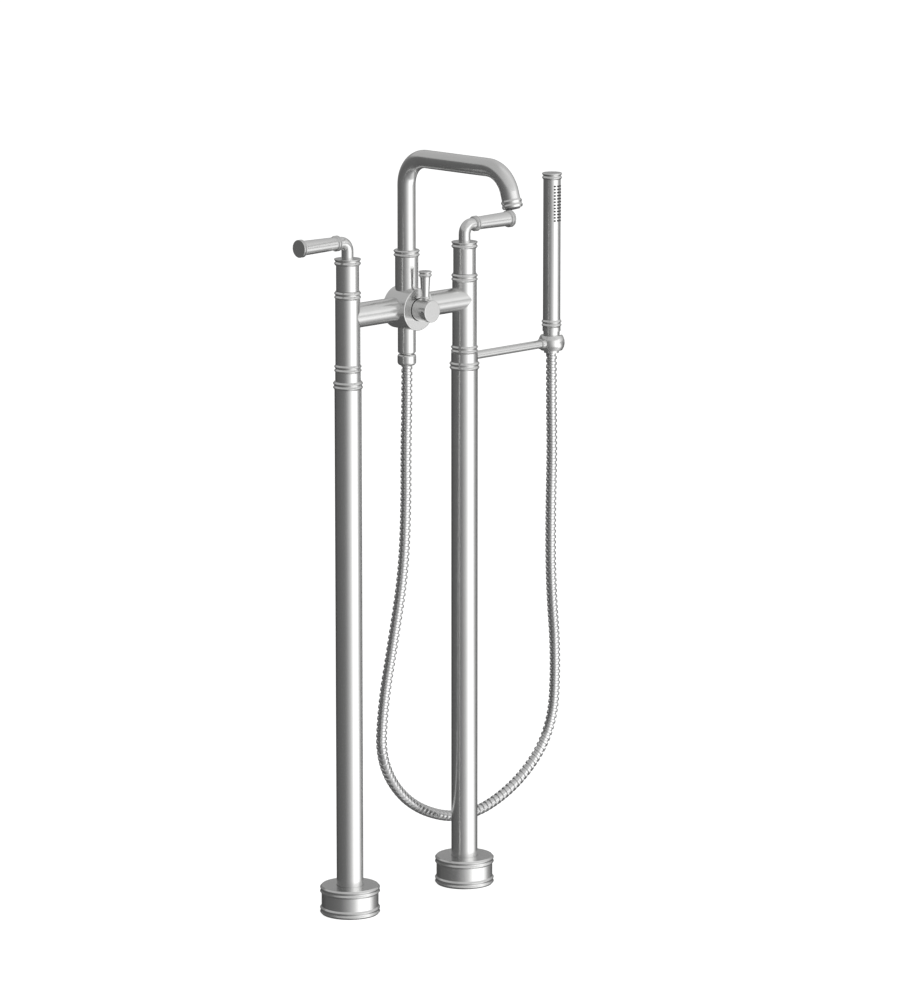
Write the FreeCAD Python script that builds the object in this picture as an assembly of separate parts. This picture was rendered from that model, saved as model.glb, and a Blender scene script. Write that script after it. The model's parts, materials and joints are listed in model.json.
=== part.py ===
import FreeCAD, Part
import math
import os

os.makedirs("parts", exist_ok=True)

# Floor standing bath filler. Millimetres. The origin is on the floor, midway between the two legs.
# +X runs from the left leg to the right leg, -Y is the side of the spout, +Z is up.

V = FreeCAD.Vector
UP = V(0, 0, 1)

# ---- Fits
SEAT_GAP = 0.05        # radial gap of a seated fit between pieces that don't move
RUN_GAP = 0.06         # radial clearance of a turning fit
FACE_GAP = 0.3         # gap between faces that turn or lift past each other
SMALL = 1.0            # overrun of a cutting tool

# ---- Legs
LEG_SPACING = 203.2
LEG_OD = 33.4
LEG_WALL = 1.5
LEG_TOP = 666.6        # height of the leg tubes' upper ends: all that stands on them follows
FOOT_PLATE_D = 66.0
FOOT_PLATE_T = 6.0
FOOT_SPIGOT_H = 20.0
FLOOR_SCREW_OFFSET = 24.5
FLOOR_SCREW_HOLE_D = 6.6
INLET_BORE_D = 18.6
INLET_BORE_H = 14.0
INLET_WALL = 2.7
INLET_H = 22.0
INLET_TAPER_H = 3.0
PIPE_OD = 15.0
PIPE_WALL = 1.0
PIPE_SOCKET_H = 16.0

# ---- Round beads. BEADS_UP and BEADS_DOWN give a bead's middle above a piece's lower end or
# ---- below its upper end, and BEAD_OUT how far its crest stands out from the tube beside it.
BEAD_HALF = 2.3        # half the height of one bead
SMALL_BEAD_HALF = 2.1  # on the spout's base
STEM_BEAD_HALF = 1.9   # on the stem's cap
LEVER_BEAD_HALF = 1.85  # on the lever's collar and end cap
BEAD_DEPTH = 1.6       # how far a bead stands out of its groove
SMALL_BEAD_DEPTH = 1.3 # the same on the stem's cap
THIN_BEAD_DEPTH = 1.0  # the same on the thin ring of the spout's outlet
BEAD_TIP_R = 0.7       # a bead has straight flanks and a rounded tip

# ---- Floor flange
FLANGE_H = 36.2
FLANGE_WALL = 2.0
FLANGE_PLATE_GAP = 0.75    # between the flange and the foot plate inside it
FLANGE_BEAD_OUT = 1.85
FLANGE_GROOVE_OUT = 0.85   # the shallow groove between two beads of a pair
FLANGE_TOP_T = 6.0
FLANGE_BEADS_UP = (2.4, 7.5)
FLANGE_BEADS_DOWN = (7.6, 2.5)
FLANGE_SLIP_GAP = 0.3
FLANGE_RING_CORD_D = 2.4

# ---- Leg collars
COLLAR_H = 30.9
COLLAR_BEADS_UP = (2.5, 7.6)
COLLAR_BEADS_DOWN = (7.4, 2.4)
COLLAR_SPIGOT_H = 16.0
LEFT_COLLAR = {"low_out": 1.85, "body": 31.4, "top_out": 1.55}
RIGHT_COLLAR = {"low_out": 2.25, "body": 33.6, "top_out": 1.75}

# ---- Valves
VALVE_OD = 30.8
VALVE_H = 81.0
VALVE_SPIGOT_WALL = 3.5
VALVE_SPIGOT_H = 24.0
WATERWAY_D = 13.0
CARTRIDGE_D = 24.0
CARTRIDGE_H = 44.0
CARTRIDGE_SINK = 2.5   # from the valve's upper end down to the cartridge's lid
CARTRIDGE_NECK_D = 16.0
CARTRIDGE_NECK_H = 10.4
CARTRIDGE_LID_H = 6.0
BONNET_H = 10.1
BONNET_BEADS_UP = (2.6, 7.6)
BONNET_BEAD_OUT = 1.2
SPINDLE_D = 8.0
SPINDLE_RISE = 10.0    # from the cartridge's lower end up to the spindle's disc
SPINDLE_DISC_H = 3.0

# ---- Handle hub and lever
HUB_OD = 28.3
HUB_H = 40.1           # from the bonnet ring to the hub's upper end
HUB_BEAD_OUT = 2.4
HUB_BEADS_DOWN = (5.7, 0.6)
HUB_CAVITY_D = 20.0
HUB_CAVITY_H = 11.4
HUB_ROOF = 10.7        # from the spindle's end to the hub's upper end
HUB_SOCKET_DEPTH = 6.0
HUB_SCREW_DROP = 18.7
SET_SCREW_D = 4.0
SCREW_SINK = 1.2       # how far a set screw's end lies under the surface
HEX_ACROSS = 2.0
HEX_DEPTH = 1.5
LEVER_RISE = 20.7      # from the hub's upper end to the lever's axis
LEVER_TUBE_OD = 14.7
LEVER_BEND_R = 11.5
LEVER_COLLAR_BEADS = (17.1, 20.8)   # along the lever, from the leg's axis
LEVER_COLLAR_OUT = 1.6
LEVER_GRIP_START = 23.0
LEVER_GRIP_L = 52.6
LEVER_GRIP_D0 = 16.2
LEVER_GRIP_D1 = 18.1
LEVER_CAP_L = 6.4
LEVER_CAP_BEADS_UP = (1.9, 5.8)
LEVER_CAP_OUT = 1.95
LEVER_PEG_D = 9.0
LEVER_PEG_H = 4.2
GRIP_PEG_H = 3.2
CAP_PEG_H = 7.0
CAP_BORE_H = 8.0

# ---- Bridge and diverter
BRIDGE_DROP = 22.1     # from the valves' upper ends down to the bridge's axis
BRIDGE_OD = 30.4
BRIDGE_BORE_D = 22.0
BARREL_D = 53.0
BARREL_FRONT = -22.1
BARREL_BACK = 15.5
BARREL_ROUND = 1.0     # rounding of the front edge
BARREL_RIM = 2.0       # wall of the barrel round the face ring
FACE_RING_T = 5.0
DIVERTER_CARTRIDGE_D = 34.0
DIVERTER_CARTRIDGE_BACK = -4.0
DIVERTER_CARTRIDGE_FLOOR = 4.0
CHAMBER_D = 26.0
CHAMBER_BACK = 11.0
SIDE_PORT_D = 16.0
TOP_PORT_D = 16.0
LOW_PORT_D = 10.0
KNOB_D = 27.2
KNOB_REACH = 23.2      # from the barrel's front to the knob's
KNOB_ROUND = 0.8
KNOB_RECESS_GAP = 0.8
KNOB_FACE_T = 10.0     # thickness of the knob in front of the spindle
DIVERTER_SPINDLE_D = 9.0
KNOB_SCREW_BACK = 4.8  # from the knob's front to its set screw
KNOB_SCREW_D = 3.0
KNOB_SCREW_SINK = 0.6
STEM_BACK = 12.8       # from the knob's front to the stem's axis
STEM_RISE = 4.2        # from the knob's side to the top of the collar at the stem's foot
STEM_H = 24.2
STEM_TOP_D = 12.7
STEM_FOOT_D = 10.1
STEM_COLLAR_D = 12.4
STEM_COLLAR_H = 3.2
STEM_NECK_D = 8.0
STEM_SOCKET_DEPTH = 6.0
STEM_BEADS_UP = (2.3, 6.4)
STEM_BEAD_OUT = 1.95
STEM_CAP_H = 7.4
STEM_PEG_D = 7.0
STEM_PEG_H = 4.0

# ---- Spout
SPOUT_OD = 22.6
SPOUT_WALL = 1.5
SPOUT_RISE = 115.8     # from the base's upper end to the arm's axis
SPOUT_FIRST_BEND_R = 34.2
SPOUT_SECOND_BEND_R = 38.3
SPOUT_ARM_END_Y = -141.4
SPOUT_TURN_DEG = 73.3
SPOUT_DROP = 17.2
SPOUT_SEAT_RISE = 13.1 # from the barrel's top to the tube's lower end
SPOUT_FOOT_BORE_D = 16.4
SPOUT_FOOT_H = 38.0
TIP_START = 9.0        # along the drop, from the end of the second bend
TIP_BEADS_UP = (2.4, 7.7)
TIP_BEAD_OUT = 1.65
TIP_L = 10.2
AERATOR_GAP = 0.8      # between the aerator and the tube's bore
AERATOR_START = 8.0
AERATOR_END = 20.8
AERATOR_WALL = 1.5
SCREEN_T = 2.0
SCREEN_SINK = 1.0
SCREEN_HOLE_D = 1.3
SCREEN_RINGS = ((1, 0.0), (6, 2.6), (12, 5.2))   # holes in each ring, and the ring's radius
BASE_WALL = 3.1
BASE_H = 33.3          # from the tube's lower end to the base's upper end
BASE_BEADS_DOWN = (6.4, 1.5)
BASE_BEAD_OUT = 1.9
O_RING_CORD_D = 2.2
SPOUT_O_RINGS_UP = (10.0, 20.0)
SPOUT_SCREW_UP = 4.4
SPOUT_SCREW_SINK = 0.6
SPOUT_GROOVE_DEPTH = 1.2
SPOUT_GROOVE_H = 3.4

# ---- Hose outlet and hose
OUTLET_OD = 22.4
OUTLET_H = 30.1        # from the barrel's underside down to the outlet's lower end
OUTLET_CHAMFER = 1.1
OUTLET_BORE_D = 10.0
OUTLET_NECK_IN = 3.4   # how much slimmer the neck is all round
OUTLET_NECK_H = 5.0
NUT_OUT = 0.4
NUT_GAP = 1.2
NUT_H = 14.6
NUT_LOW_ROUND = 4.6
NUT_TOP_ROUND = 3.3
WASHER_T = 2.0
HOSE_D = 13.8
HOSE_GROOVE_D = 11.6
HOSE_BORE_D = 8.0
HOSE_RIBS = 184
RIB_SHAPE = ((0.0, HOSE_GROOVE_D), (0.24, HOSE_D), (0.62, HOSE_D), (0.86, HOSE_GROOVE_D))
# The corners of the hose's route, from the outlet nut to the hand shower. It hangs behind the right leg.
HOSE_ROUTE = (
    (0, 0, 684), (0, 0, 636), (1, 3, 578), (7, 9, 504), (9, 16, 417), (-2, 23, 331),
    (-14, 30, 248), (-14, 35, 168), (45, 39, 100), (146, 42, 66), (241, 42, 95), (303, 39, 158),
    (304, 33, 256), (284, 24, 360), (273, 14, 458), (266, 5, 542), (259, 0, 606), (259, 0, 669),
)
ARC_SHARE = 0.45       # share of the shorter run that an arc of the route takes

# ---- Hand shower and cradle
CRADLE_REACH = 157.4   # from the right leg's axis to the hand shower's
CRADLE_RISE = 15.4     # from the collar's lower end to the arm's axis
BALL_D = 33.6
BALL_TOP_H = 9.6
BALL_LOW_H = 9.5
CRADLE_SEAT_GAP = 0.35
HOSE_SLOT_GAP = 0.9
ARM_OD = 10.5
ARM_PEG_D = 7.0
ARM_PEG_H = 3.5
ARM_PEG_END_R = 13.0   # the peg's end in the ball, from the hand shower's axis
FERRULE_WALL = 1.3
FERRULE_BACK = 21.6    # from the hand shower's axis to the ferrule's far end
FERRULE_CHAMFER = 0.8
CONE_DROP = 13.0       # from the cradle's axis down to the cone nut's lower end
CONE_H = 33.1
CONE_RIM_H = 5.0
CONE_STEP_H = 1.0      # height of the straight part under the rim
CONE_SEAT_H = 15.0
CONE_SOCKET_D = 17.2
CONE_STEP_D = 23.0
CONE_TOP_D = 20.8
CONE_BOTTOM_D = 19.0
SHOWER_OD = 22.2
SHOWER_WALL = 1.5
SHOWER_L = 180.3
SHOWER_BEAD_OUT = 1.7
SHOWER_RING_H = 9.3
SHOWER_RING_BEADS_UP = (2.4, 7.0)
SHOWER_PLUG_H = 8.0
SHOWER_CAP_H = 8.2
SHOWER_CAP_BEADS_UP = (2.2, 7.0)
SHOWER_CAP_PLUG_H = 5.0
NOZZLE_COLUMNS_DEG = (-27.0, -2.5, 22.0)
NOZZLE_ROWS = 12
NOZZLE_DROP = 8.2      # from the tube's upper end to the first row
NOZZLE_PITCH = 4.01
NOZZLE_D = 2.1
NOZZLE_STAND = 1.0
NOZZLE_MAT_T = 1.0
NOZZLE_MAT_MARGIN = 3.0
NOZZLE_MAT_SIDE_DEG = 12.0

# ---- Worked out
LEG_X = LEG_SPACING / 2
LEG_BORE_D = LEG_OD - 2 * LEG_WALL
FLANGE_D = FOOT_PLATE_D + 2 * (FLANGE_WALL + FLANGE_PLATE_GAP)
INLET_OD = INLET_BORE_D + 2 * INLET_WALL
PIPE_BORE_D = PIPE_OD - 2 * PIPE_WALL
VALVE_SPIGOT_OD = PIPE_OD + 2 * VALVE_SPIGOT_WALL
COLLAR_TOP = LEG_TOP + COLLAR_H
VALVE_TOP = COLLAR_TOP + VALVE_H
CARTRIDGE_TOP = VALVE_TOP - CARTRIDGE_SINK
CARTRIDGE_BOTTOM = CARTRIDGE_TOP - CARTRIDGE_H
CARTRIDGE_NECK_TOP = CARTRIDGE_TOP + CARTRIDGE_NECK_H
BONNET_TOP = VALVE_TOP + BONNET_H
HUB_TOP = BONNET_TOP + HUB_H
HUB_SCREW_Z = HUB_TOP - HUB_SCREW_DROP
SPINDLE_BOTTOM = CARTRIDGE_BOTTOM + SPINDLE_RISE
SPINDLE_TOP = HUB_TOP - HUB_ROOF
LEVER_Z = HUB_TOP + LEVER_RISE
LEVER_GRIP_END = LEVER_GRIP_START + LEVER_GRIP_L
BRIDGE_Z = VALVE_TOP - BRIDGE_DROP
FACE_RING_D = BARREL_D - 2 * BARREL_RIM
KNOB_FRONT = BARREL_FRONT - KNOB_REACH
KNOB_SCREW_Y = KNOB_FRONT + KNOB_SCREW_BACK
STEM_Y = KNOB_FRONT + STEM_BACK
STEM_FOOT_Z = BRIDGE_Z + KNOB_D / 2 + STEM_RISE
STEM_CAP_BOTTOM = STEM_FOOT_Z + STEM_H
SPOUT_BORE_D = SPOUT_OD - 2 * SPOUT_WALL
SPOUT_BOTTOM = BRIDGE_Z + BARREL_D / 2 + SPOUT_SEAT_RISE
SPOUT_FOOT_TOP = SPOUT_BOTTOM + SPOUT_FOOT_H
SPOUT_O_RING_Z = [SPOUT_BOTTOM + up for up in SPOUT_O_RINGS_UP]
SPOUT_SCREW_Z = SPOUT_BOTTOM + SPOUT_SCREW_UP
BASE_OD = SPOUT_OD + 2 * BASE_WALL
BASE_TOP = SPOUT_BOTTOM + BASE_H
BASE_SHOULDER = SPOUT_BOTTOM - FACE_GAP
SPOUT_ARM_Z = BASE_TOP + SPOUT_RISE
AERATOR_D = SPOUT_BORE_D - 2 * AERATOR_GAP
OUTLET_BOTTOM = BRIDGE_Z - BARREL_D / 2 - OUTLET_H
OUTLET_NECK_D = OUTLET_OD - 2 * OUTLET_NECK_IN
WASHER_Z = OUTLET_BOTTOM - OUTLET_NECK_H - WASHER_T
NUT_D = OUTLET_OD + 2 * NUT_OUT
NUT_TOP = OUTLET_BOTTOM - NUT_GAP
NUT_BOTTOM = NUT_TOP - NUT_H
SHOWER_X = LEG_X + CRADLE_REACH
CRADLE_Z = LEG_TOP + CRADLE_RISE
CONE_BOTTOM = CRADLE_Z - CONE_DROP
CONE_TOP = CONE_BOTTOM + CONE_H
CONE_RIM_Z = CONE_TOP - CONE_RIM_H
CONE_SEAT_Z = CONE_BOTTOM + CONE_SEAT_H
SHOWER_BORE_D = SHOWER_OD - 2 * SHOWER_WALL
SHOWER_BEAD_D = SHOWER_OD + 2 * SHOWER_BEAD_OUT
SHOWER_BOTTOM = CONE_TOP + FACE_GAP
SHOWER_RING_TOP = SHOWER_BOTTOM + SHOWER_RING_H
SHOWER_TOP = SHOWER_RING_TOP + SHOWER_L
NOZZLE_TOP = SHOWER_TOP - NOZZLE_DROP
SIDES = (("left", -1), ("right", 1))


class Outline:
    """Half section of a turned piece: points of radius and height, joined by lines and arcs."""

    def __init__(self, radius, height):
        self.start = V(radius, 0, height)
        self.here = self.start
        self.edges = []

    def to(self, radius, height):
        end = V(radius, 0, height)
        if (end - self.here).Length > 1e-6:
            self.edges.append(Part.LineSegment(self.here, end).toShape())
            self.here = end
        return self

    def arc(self, mid_radius, mid_height, radius, height):
        end = V(radius, 0, height)
        self.edges.append(Part.Arc(self.here, V(mid_radius, 0, mid_height), end).toShape())
        self.here = end
        return self

    def rounded(self, corner_radius, corner_height, radius, height):
        """A quarter round from here to the end given, inside their right-angled corner."""
        lean = 1 - math.sqrt(0.5)
        corner = V(corner_radius, 0, corner_height)
        middle = corner + (self.here - corner) * lean + (V(radius, 0, height) - corner) * lean
        return self.arc(middle.x, middle.z, radius, height)

    def bead(self, crest_d, height, half, before_d, after_d):
        """Runs up over one bead: a straight flank, a rounded tip and the other flank."""
        self.to(before_d / 2, height - half)
        self.to(*tip_start(crest_d, height, half, before_d, -1))
        self.arc(crest_d / 2, height, *tip_start(crest_d, height, half, after_d, 1))
        return self.to(after_d / 2, height + half)

    def beads(self, crest_d, heights, half, base_d, groove_d=None):
        """Runs up over one bead at each height, from base_d to base_d, with a groove between."""
        groove_d = groove_d or base_d
        for height in heights:
            before = base_d if height == heights[0] else groove_d
            after = base_d if height == heights[-1] else groove_d
            self.bead(crest_d, height, half, before, after)
        return self

    def beads_to_face(self, crest_d, heights, half, base_d, face):
        """Two beads, the second cut off by the flat face that ends the piece."""
        first, last = heights
        self.bead(crest_d, first, half, base_d, base_d)
        self.to(base_d / 2, last - half).to(*tip_start(crest_d, last, half, base_d, -1))
        high_r, high = tip_start(crest_d, last, half, base_d, 1)
        share = (face - high) / (last + half - high)
        return self.arc(crest_d / 2, last, high_r, high).to(high_r + (base_d / 2 - high_r) * share, face)

    def turned(self):
        self.to(self.start.x, self.start.z)
        face = Part.Face(Part.Wire(self.edges))
        return face.revolve(V(0, 0, 0), UP, 360)


def tip_start(crest_d, height, half, base_d, side):
    """Where a bead's straight flank meets its rounded tip, as radius and height: side -1 below, 1 above."""
    middle_r = crest_d / 2 - BEAD_TIP_R
    flank = V(base_d / 2 - middle_r, 0, side * half)
    turn = math.atan2(flank.z, flank.x) - side * math.acos(BEAD_TIP_R / flank.Length)
    return middle_r + BEAD_TIP_R * math.cos(turn), height + BEAD_TIP_R * math.sin(turn)


def above(base, heights):
    """The heights of a pair of beads above a piece's lower end."""
    return [base + height for height in heights]


def below(top, heights):
    """The heights of a pair of beads below a piece's upper end."""
    return [top - height for height in heights]


def rod(diameter, bottom, top):
    return Part.makeCylinder(diameter / 2, top - bottom, V(0, 0, bottom))


def ring(outer_d, inner_d, bottom, top):
    return rod(outer_d, bottom, top).cut(rod(inner_d, bottom - SMALL, top + SMALL))


def turned_copy(shape, axis, degrees, centre=V(0, 0, 0)):
    copy = shape.copy()
    copy.rotate(centre, axis, degrees)
    return copy


def moved(shape, x=0.0, y=0.0, z=0.0):
    copy = shape.copy()
    copy.translate(V(x, y, z))
    return copy


def along_y(shape):
    """Lays a piece that was turned about Z along Y: its height becomes Y."""
    return turned_copy(shape, V(1, 0, 0), -90)


def along_x(shape, side):
    """Lays a piece that was turned about Z along X: its height becomes X on the right, -X on the left."""
    return turned_copy(shape, V(0, 1, 0), 90 * side)


def joined(shapes):
    result = shapes[0]
    for shape in shapes[1:]:
        result = result.fuse(shape)
    return result.removeSplitter()


def pipe_along(edges, diameter):
    """A round bar along a path of lines and arcs that starts at its first edge."""
    path = Part.Wire(edges)
    first = edges[0]
    start = first.valueAt(first.FirstParameter)
    direction = first.tangentAt(first.FirstParameter)
    circle = Part.Wire([Part.makeCircle(diameter / 2, start, direction)])
    return path.makePipeShell([circle], True, False)


def rounded_front(bar, radius):
    """Rounds the edge of a bar on the diverter's axis at its front, its lowest Y."""
    front = bar.BoundBox.YMin
    edges = [edge for edge in bar.Edges if edge.BoundBox.YMax < front + 1e-4]
    return bar.makeFillet(radius, edges)


def write(node, shape):
    solids = shape.Solids
    if not shape.isValid() or not solids:
        raise RuntimeError(node + " isn't a valid solid")
    if len(solids) == 1:
        shape = solids[0]
    shape.exportStep("parts/" + node + ".step")
    print(node, len(solids), "solids", round(shape.Volume), "mm3")
    return shape


# ---- Legs

def foot_plate():
    """The plate on the floor, with the spigot that the leg stands on and two screw holes."""
    plate = rod(FOOT_PLATE_D, 0, FOOT_PLATE_T)
    spigot = rod(LEG_BORE_D - 2 * SEAT_GAP, FOOT_PLATE_T, FOOT_PLATE_T + FOOT_SPIGOT_H)
    body = joined([plate, spigot])
    body = body.cut(rod(INLET_OD + 2 * SEAT_GAP, -SMALL, FOOT_PLATE_T + FOOT_SPIGOT_H + SMALL))
    for sign in (-1, 1):
        hole = rod(FLOOR_SCREW_HOLE_D, -SMALL, FOOT_PLATE_T + SMALL)
        body = body.cut(moved(hole, y=sign * FLOOR_SCREW_OFFSET))
    return body


def floor_flange():
    """The cover round the foot: a cup with two pairs of beads, upside down over the foot plate."""
    inner_r = FLANGE_D / 2 - FLANGE_WALL
    hole_r = LEG_OD / 2 + FLANGE_SLIP_GAP
    groove_r = LEG_OD / 2 + FLANGE_RING_CORD_D + SEAT_GAP
    groove_mid = FLANGE_H - FLANGE_TOP_T / 2
    groove_half = FLANGE_RING_CORD_D / 2 + SEAT_GAP
    crest_d = FLANGE_D + 2 * FLANGE_BEAD_OUT
    between_d = FLANGE_D + 2 * FLANGE_GROOVE_OUT
    section = Outline(inner_r, 0).to(FLANGE_D / 2, 0)
    section.beads(crest_d, above(0, FLANGE_BEADS_UP), BEAD_HALF, FLANGE_D, between_d)
    section.beads(crest_d, below(FLANGE_H, FLANGE_BEADS_DOWN), BEAD_HALF, FLANGE_D, between_d)
    section.to(FLANGE_D / 2, FLANGE_H).to(hole_r, FLANGE_H)
    section.to(hole_r, groove_mid + groove_half).to(groove_r, groove_mid + groove_half)
    section.to(groove_r, groove_mid - groove_half).to(hole_r, groove_mid - groove_half)
    section.to(hole_r, FLANGE_H - FLANGE_TOP_T).to(inner_r, FLANGE_H - FLANGE_TOP_T)
    return section.turned()


def flange_o_rings():
    """The two rings that grip the legs inside the flanges' top plates."""
    cord_r = FLANGE_RING_CORD_D / 2
    height = FLANGE_H - FLANGE_TOP_T / 2
    centres = [V(side * LEG_X, 0, height) for _, side in SIDES]
    return Part.makeCompound([Part.makeTorus(LEG_OD / 2 + cord_r, cord_r, centre) for centre in centres])


def leg_tube():
    return ring(LEG_OD, LEG_BORE_D, FOOT_PLATE_T, LEG_TOP)


def supply_pipe():
    """The inlet fitting at the floor with the pipe that runs up to the valve."""
    top = COLLAR_TOP - VALVE_SPIGOT_H + PIPE_SOCKET_H
    section = Outline(INLET_BORE_D / 2, 0).to(INLET_OD / 2, 0).to(INLET_OD / 2, INLET_H)
    section.to(PIPE_OD / 2, INLET_H + INLET_TAPER_H).to(PIPE_OD / 2, top)
    section.to(PIPE_BORE_D / 2, top).to(PIPE_BORE_D / 2, INLET_BORE_H)
    section.to(INLET_BORE_D / 2, INLET_BORE_H)
    return section.turned()


def leg_collar(sizes):
    """The collar between leg and valve, with a spigot down into the leg."""
    low_crest = LEG_OD + 2 * sizes["low_out"]
    top_crest = VALVE_OD + 2 * sizes["top_out"]
    low_base = low_crest - 2 * BEAD_DEPTH
    top_base = top_crest - 2 * BEAD_DEPTH
    low_beads = above(LEG_TOP, COLLAR_BEADS_UP)
    top_beads = below(COLLAR_TOP, COLLAR_BEADS_DOWN)
    bore_r = VALVE_SPIGOT_OD / 2 + SEAT_GAP
    spigot_r = LEG_BORE_D / 2 - SEAT_GAP
    section = Outline(bore_r, LEG_TOP - COLLAR_SPIGOT_H)
    section.to(spigot_r, LEG_TOP - COLLAR_SPIGOT_H).to(spigot_r, LEG_TOP)
    section.to(low_base / 2, LEG_TOP)
    section.beads(low_crest, low_beads, BEAD_HALF, low_base)
    section.to(sizes["body"] / 2, low_beads[-1] + BEAD_HALF)
    section.to(sizes["body"] / 2, top_beads[0] - BEAD_HALF)
    section.beads(top_crest, top_beads, BEAD_HALF, top_base)
    section.to(top_base / 2, COLLAR_TOP).to(bore_r, COLLAR_TOP)
    return section.turned()


def bracket_collar():
    """The right leg's collar, with the socket of the cradle arm."""
    socket_r = RIGHT_COLLAR["body"] / 2
    socket = rod(ARM_PEG_D + 2 * SEAT_GAP, socket_r - ARM_PEG_H, socket_r + SMALL)
    return leg_collar(RIGHT_COLLAR).cut(moved(along_x(socket, 1), z=CRADLE_Z))


# ---- Valves

def valve_body(side):
    """The valve's tube, with the cartridge's bore, the pipe's socket and the port to the bridge."""
    bottom = COLLAR_TOP - VALVE_SPIGOT_H
    body = joined([rod(VALVE_OD, COLLAR_TOP, VALVE_TOP), rod(VALVE_SPIGOT_OD, bottom, COLLAR_TOP)])
    body = body.cut(rod(PIPE_OD + 2 * SEAT_GAP, bottom - SMALL, bottom + PIPE_SOCKET_H))
    body = body.cut(rod(WATERWAY_D, bottom, CARTRIDGE_BOTTOM + SMALL))
    body = body.cut(rod(CARTRIDGE_D + 2 * SEAT_GAP, CARTRIDGE_BOTTOM, VALVE_TOP + SMALL))
    port = rod(SIDE_PORT_D, 0, VALVE_OD)
    return body.cut(moved(along_x(port, -side), z=BRIDGE_Z))


def bonnet_ring():
    crest = VALVE_OD + 2 * BONNET_BEAD_OUT
    base = crest - 2 * BEAD_DEPTH
    bore_r = CARTRIDGE_NECK_D / 2 + SEAT_GAP
    register_r = CARTRIDGE_D / 2
    section = Outline(bore_r, CARTRIDGE_TOP).to(register_r, CARTRIDGE_TOP).to(register_r, VALVE_TOP)
    section.to(base / 2, VALVE_TOP).beads(crest, above(VALVE_TOP, BONNET_BEADS_UP), BEAD_HALF, base)
    section.to(base / 2, BONNET_TOP).to(bore_r, BONNET_TOP)
    return section.turned()


def valve_cartridge(side):
    """The ceramic cartridge: a sleeve with a neck, open below and towards the bridge."""
    section = Outline(WATERWAY_D / 2, CARTRIDGE_BOTTOM).to(CARTRIDGE_D / 2, CARTRIDGE_BOTTOM)
    section.to(CARTRIDGE_D / 2, CARTRIDGE_TOP).to(CARTRIDGE_NECK_D / 2, CARTRIDGE_TOP)
    section.to(CARTRIDGE_NECK_D / 2, CARTRIDGE_NECK_TOP)
    section.to(SPINDLE_D / 2 + RUN_GAP, CARTRIDGE_NECK_TOP)
    section.to(SPINDLE_D / 2 + RUN_GAP, CARTRIDGE_TOP - CARTRIDGE_LID_H)
    section.to(WATERWAY_D / 2, CARTRIDGE_TOP - CARTRIDGE_LID_H)
    window = rod(WATERWAY_D, 0, CARTRIDGE_D)
    return section.turned().cut(moved(along_x(window, -side), z=BRIDGE_Z))


def valve_spindle():
    """The spindle, with the disc that opens and closes the way up through the cartridge."""
    disc_r = WATERWAY_D / 2 - RUN_GAP
    disc_top = SPINDLE_BOTTOM + SPINDLE_DISC_H
    section = Outline(0, SPINDLE_BOTTOM).to(disc_r, SPINDLE_BOTTOM).to(disc_r, disc_top)
    section.to(SPINDLE_D / 2, disc_top).to(SPINDLE_D / 2, SPINDLE_TOP).to(0, SPINDLE_TOP)
    return section.turned()


def handle_hub():
    """The hub that turns on the spindle, with the beaded cap and the elbow's socket."""
    crest = HUB_OD + 2 * HUB_BEAD_OUT
    base = crest - 2 * BEAD_DEPTH
    beads = below(HUB_TOP, HUB_BEADS_DOWN)
    bottom = BONNET_TOP + FACE_GAP
    cavity_top = BONNET_TOP + HUB_CAVITY_H
    grip_r = SPINDLE_D / 2 + SEAT_GAP
    socket_r = LEVER_TUBE_OD / 2 + SEAT_GAP
    socket_z = HUB_TOP - HUB_SOCKET_DEPTH
    section = Outline(HUB_CAVITY_D / 2, bottom).to(HUB_OD / 2, bottom)
    section.to(HUB_OD / 2, beads[0] - BEAD_HALF)
    section.beads_to_face(crest, beads, BEAD_HALF, base, HUB_TOP)
    section.to(socket_r, HUB_TOP).to(socket_r, socket_z).to(0, socket_z)
    section.to(0, SPINDLE_TOP + SEAT_GAP).to(grip_r, SPINDLE_TOP + SEAT_GAP)
    section.to(grip_r, cavity_top).to(HUB_CAVITY_D / 2, cavity_top)
    hole = rod(SET_SCREW_D + 2 * SEAT_GAP, 0, HUB_OD)
    return section.turned().cut(moved(along_y(hole), z=HUB_SCREW_Z))


def hub_screw():
    """The set screw at the hub's back, with its hexagon socket."""
    end = HUB_OD / 2 - SCREW_SINK
    screw = rod(SET_SCREW_D, SPINDLE_D / 2, end)
    return moved(along_y(screw.cut(hex_socket(end))), z=HUB_SCREW_Z)


def hex_socket(top):
    """A hexagon recess for a key, cut down from the given height."""
    first = V(HEX_ACROSS / math.sqrt(3), 0, top - HEX_DEPTH)
    turns = [FreeCAD.Rotation(UP, 60 * corner) for corner in range(7)]
    corners = [turn.multVec(first) for turn in turns]
    return Part.Face(Part.makePolygon(corners)).extrude(V(0, 0, HEX_DEPTH + SMALL))


def lever_elbow(side):
    bottom = HUB_TOP - HUB_SOCKET_DEPTH
    bend_z = LEVER_Z - LEVER_BEND_R
    diagonal = LEVER_BEND_R * math.sqrt(0.5)
    bend_mid = V(side * (LEVER_BEND_R - diagonal), 0, bend_z + diagonal)
    bend_end = V(side * LEVER_BEND_R, 0, LEVER_Z)
    end = V(side * (LEVER_COLLAR_BEADS[0] - LEVER_BEAD_HALF), 0, LEVER_Z)
    edges = [
        Part.LineSegment(V(0, 0, bottom), V(0, 0, bend_z)).toShape(),
        Part.Arc(V(0, 0, bend_z), bend_mid, bend_end).toShape(),
        Part.LineSegment(bend_end, end).toShape(),
    ]
    peg = Part.makeCylinder(LEVER_PEG_D / 2, LEVER_PEG_H, end, V(side, 0, 0))
    return joined([pipe_along(edges, LEVER_TUBE_OD), peg])


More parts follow.
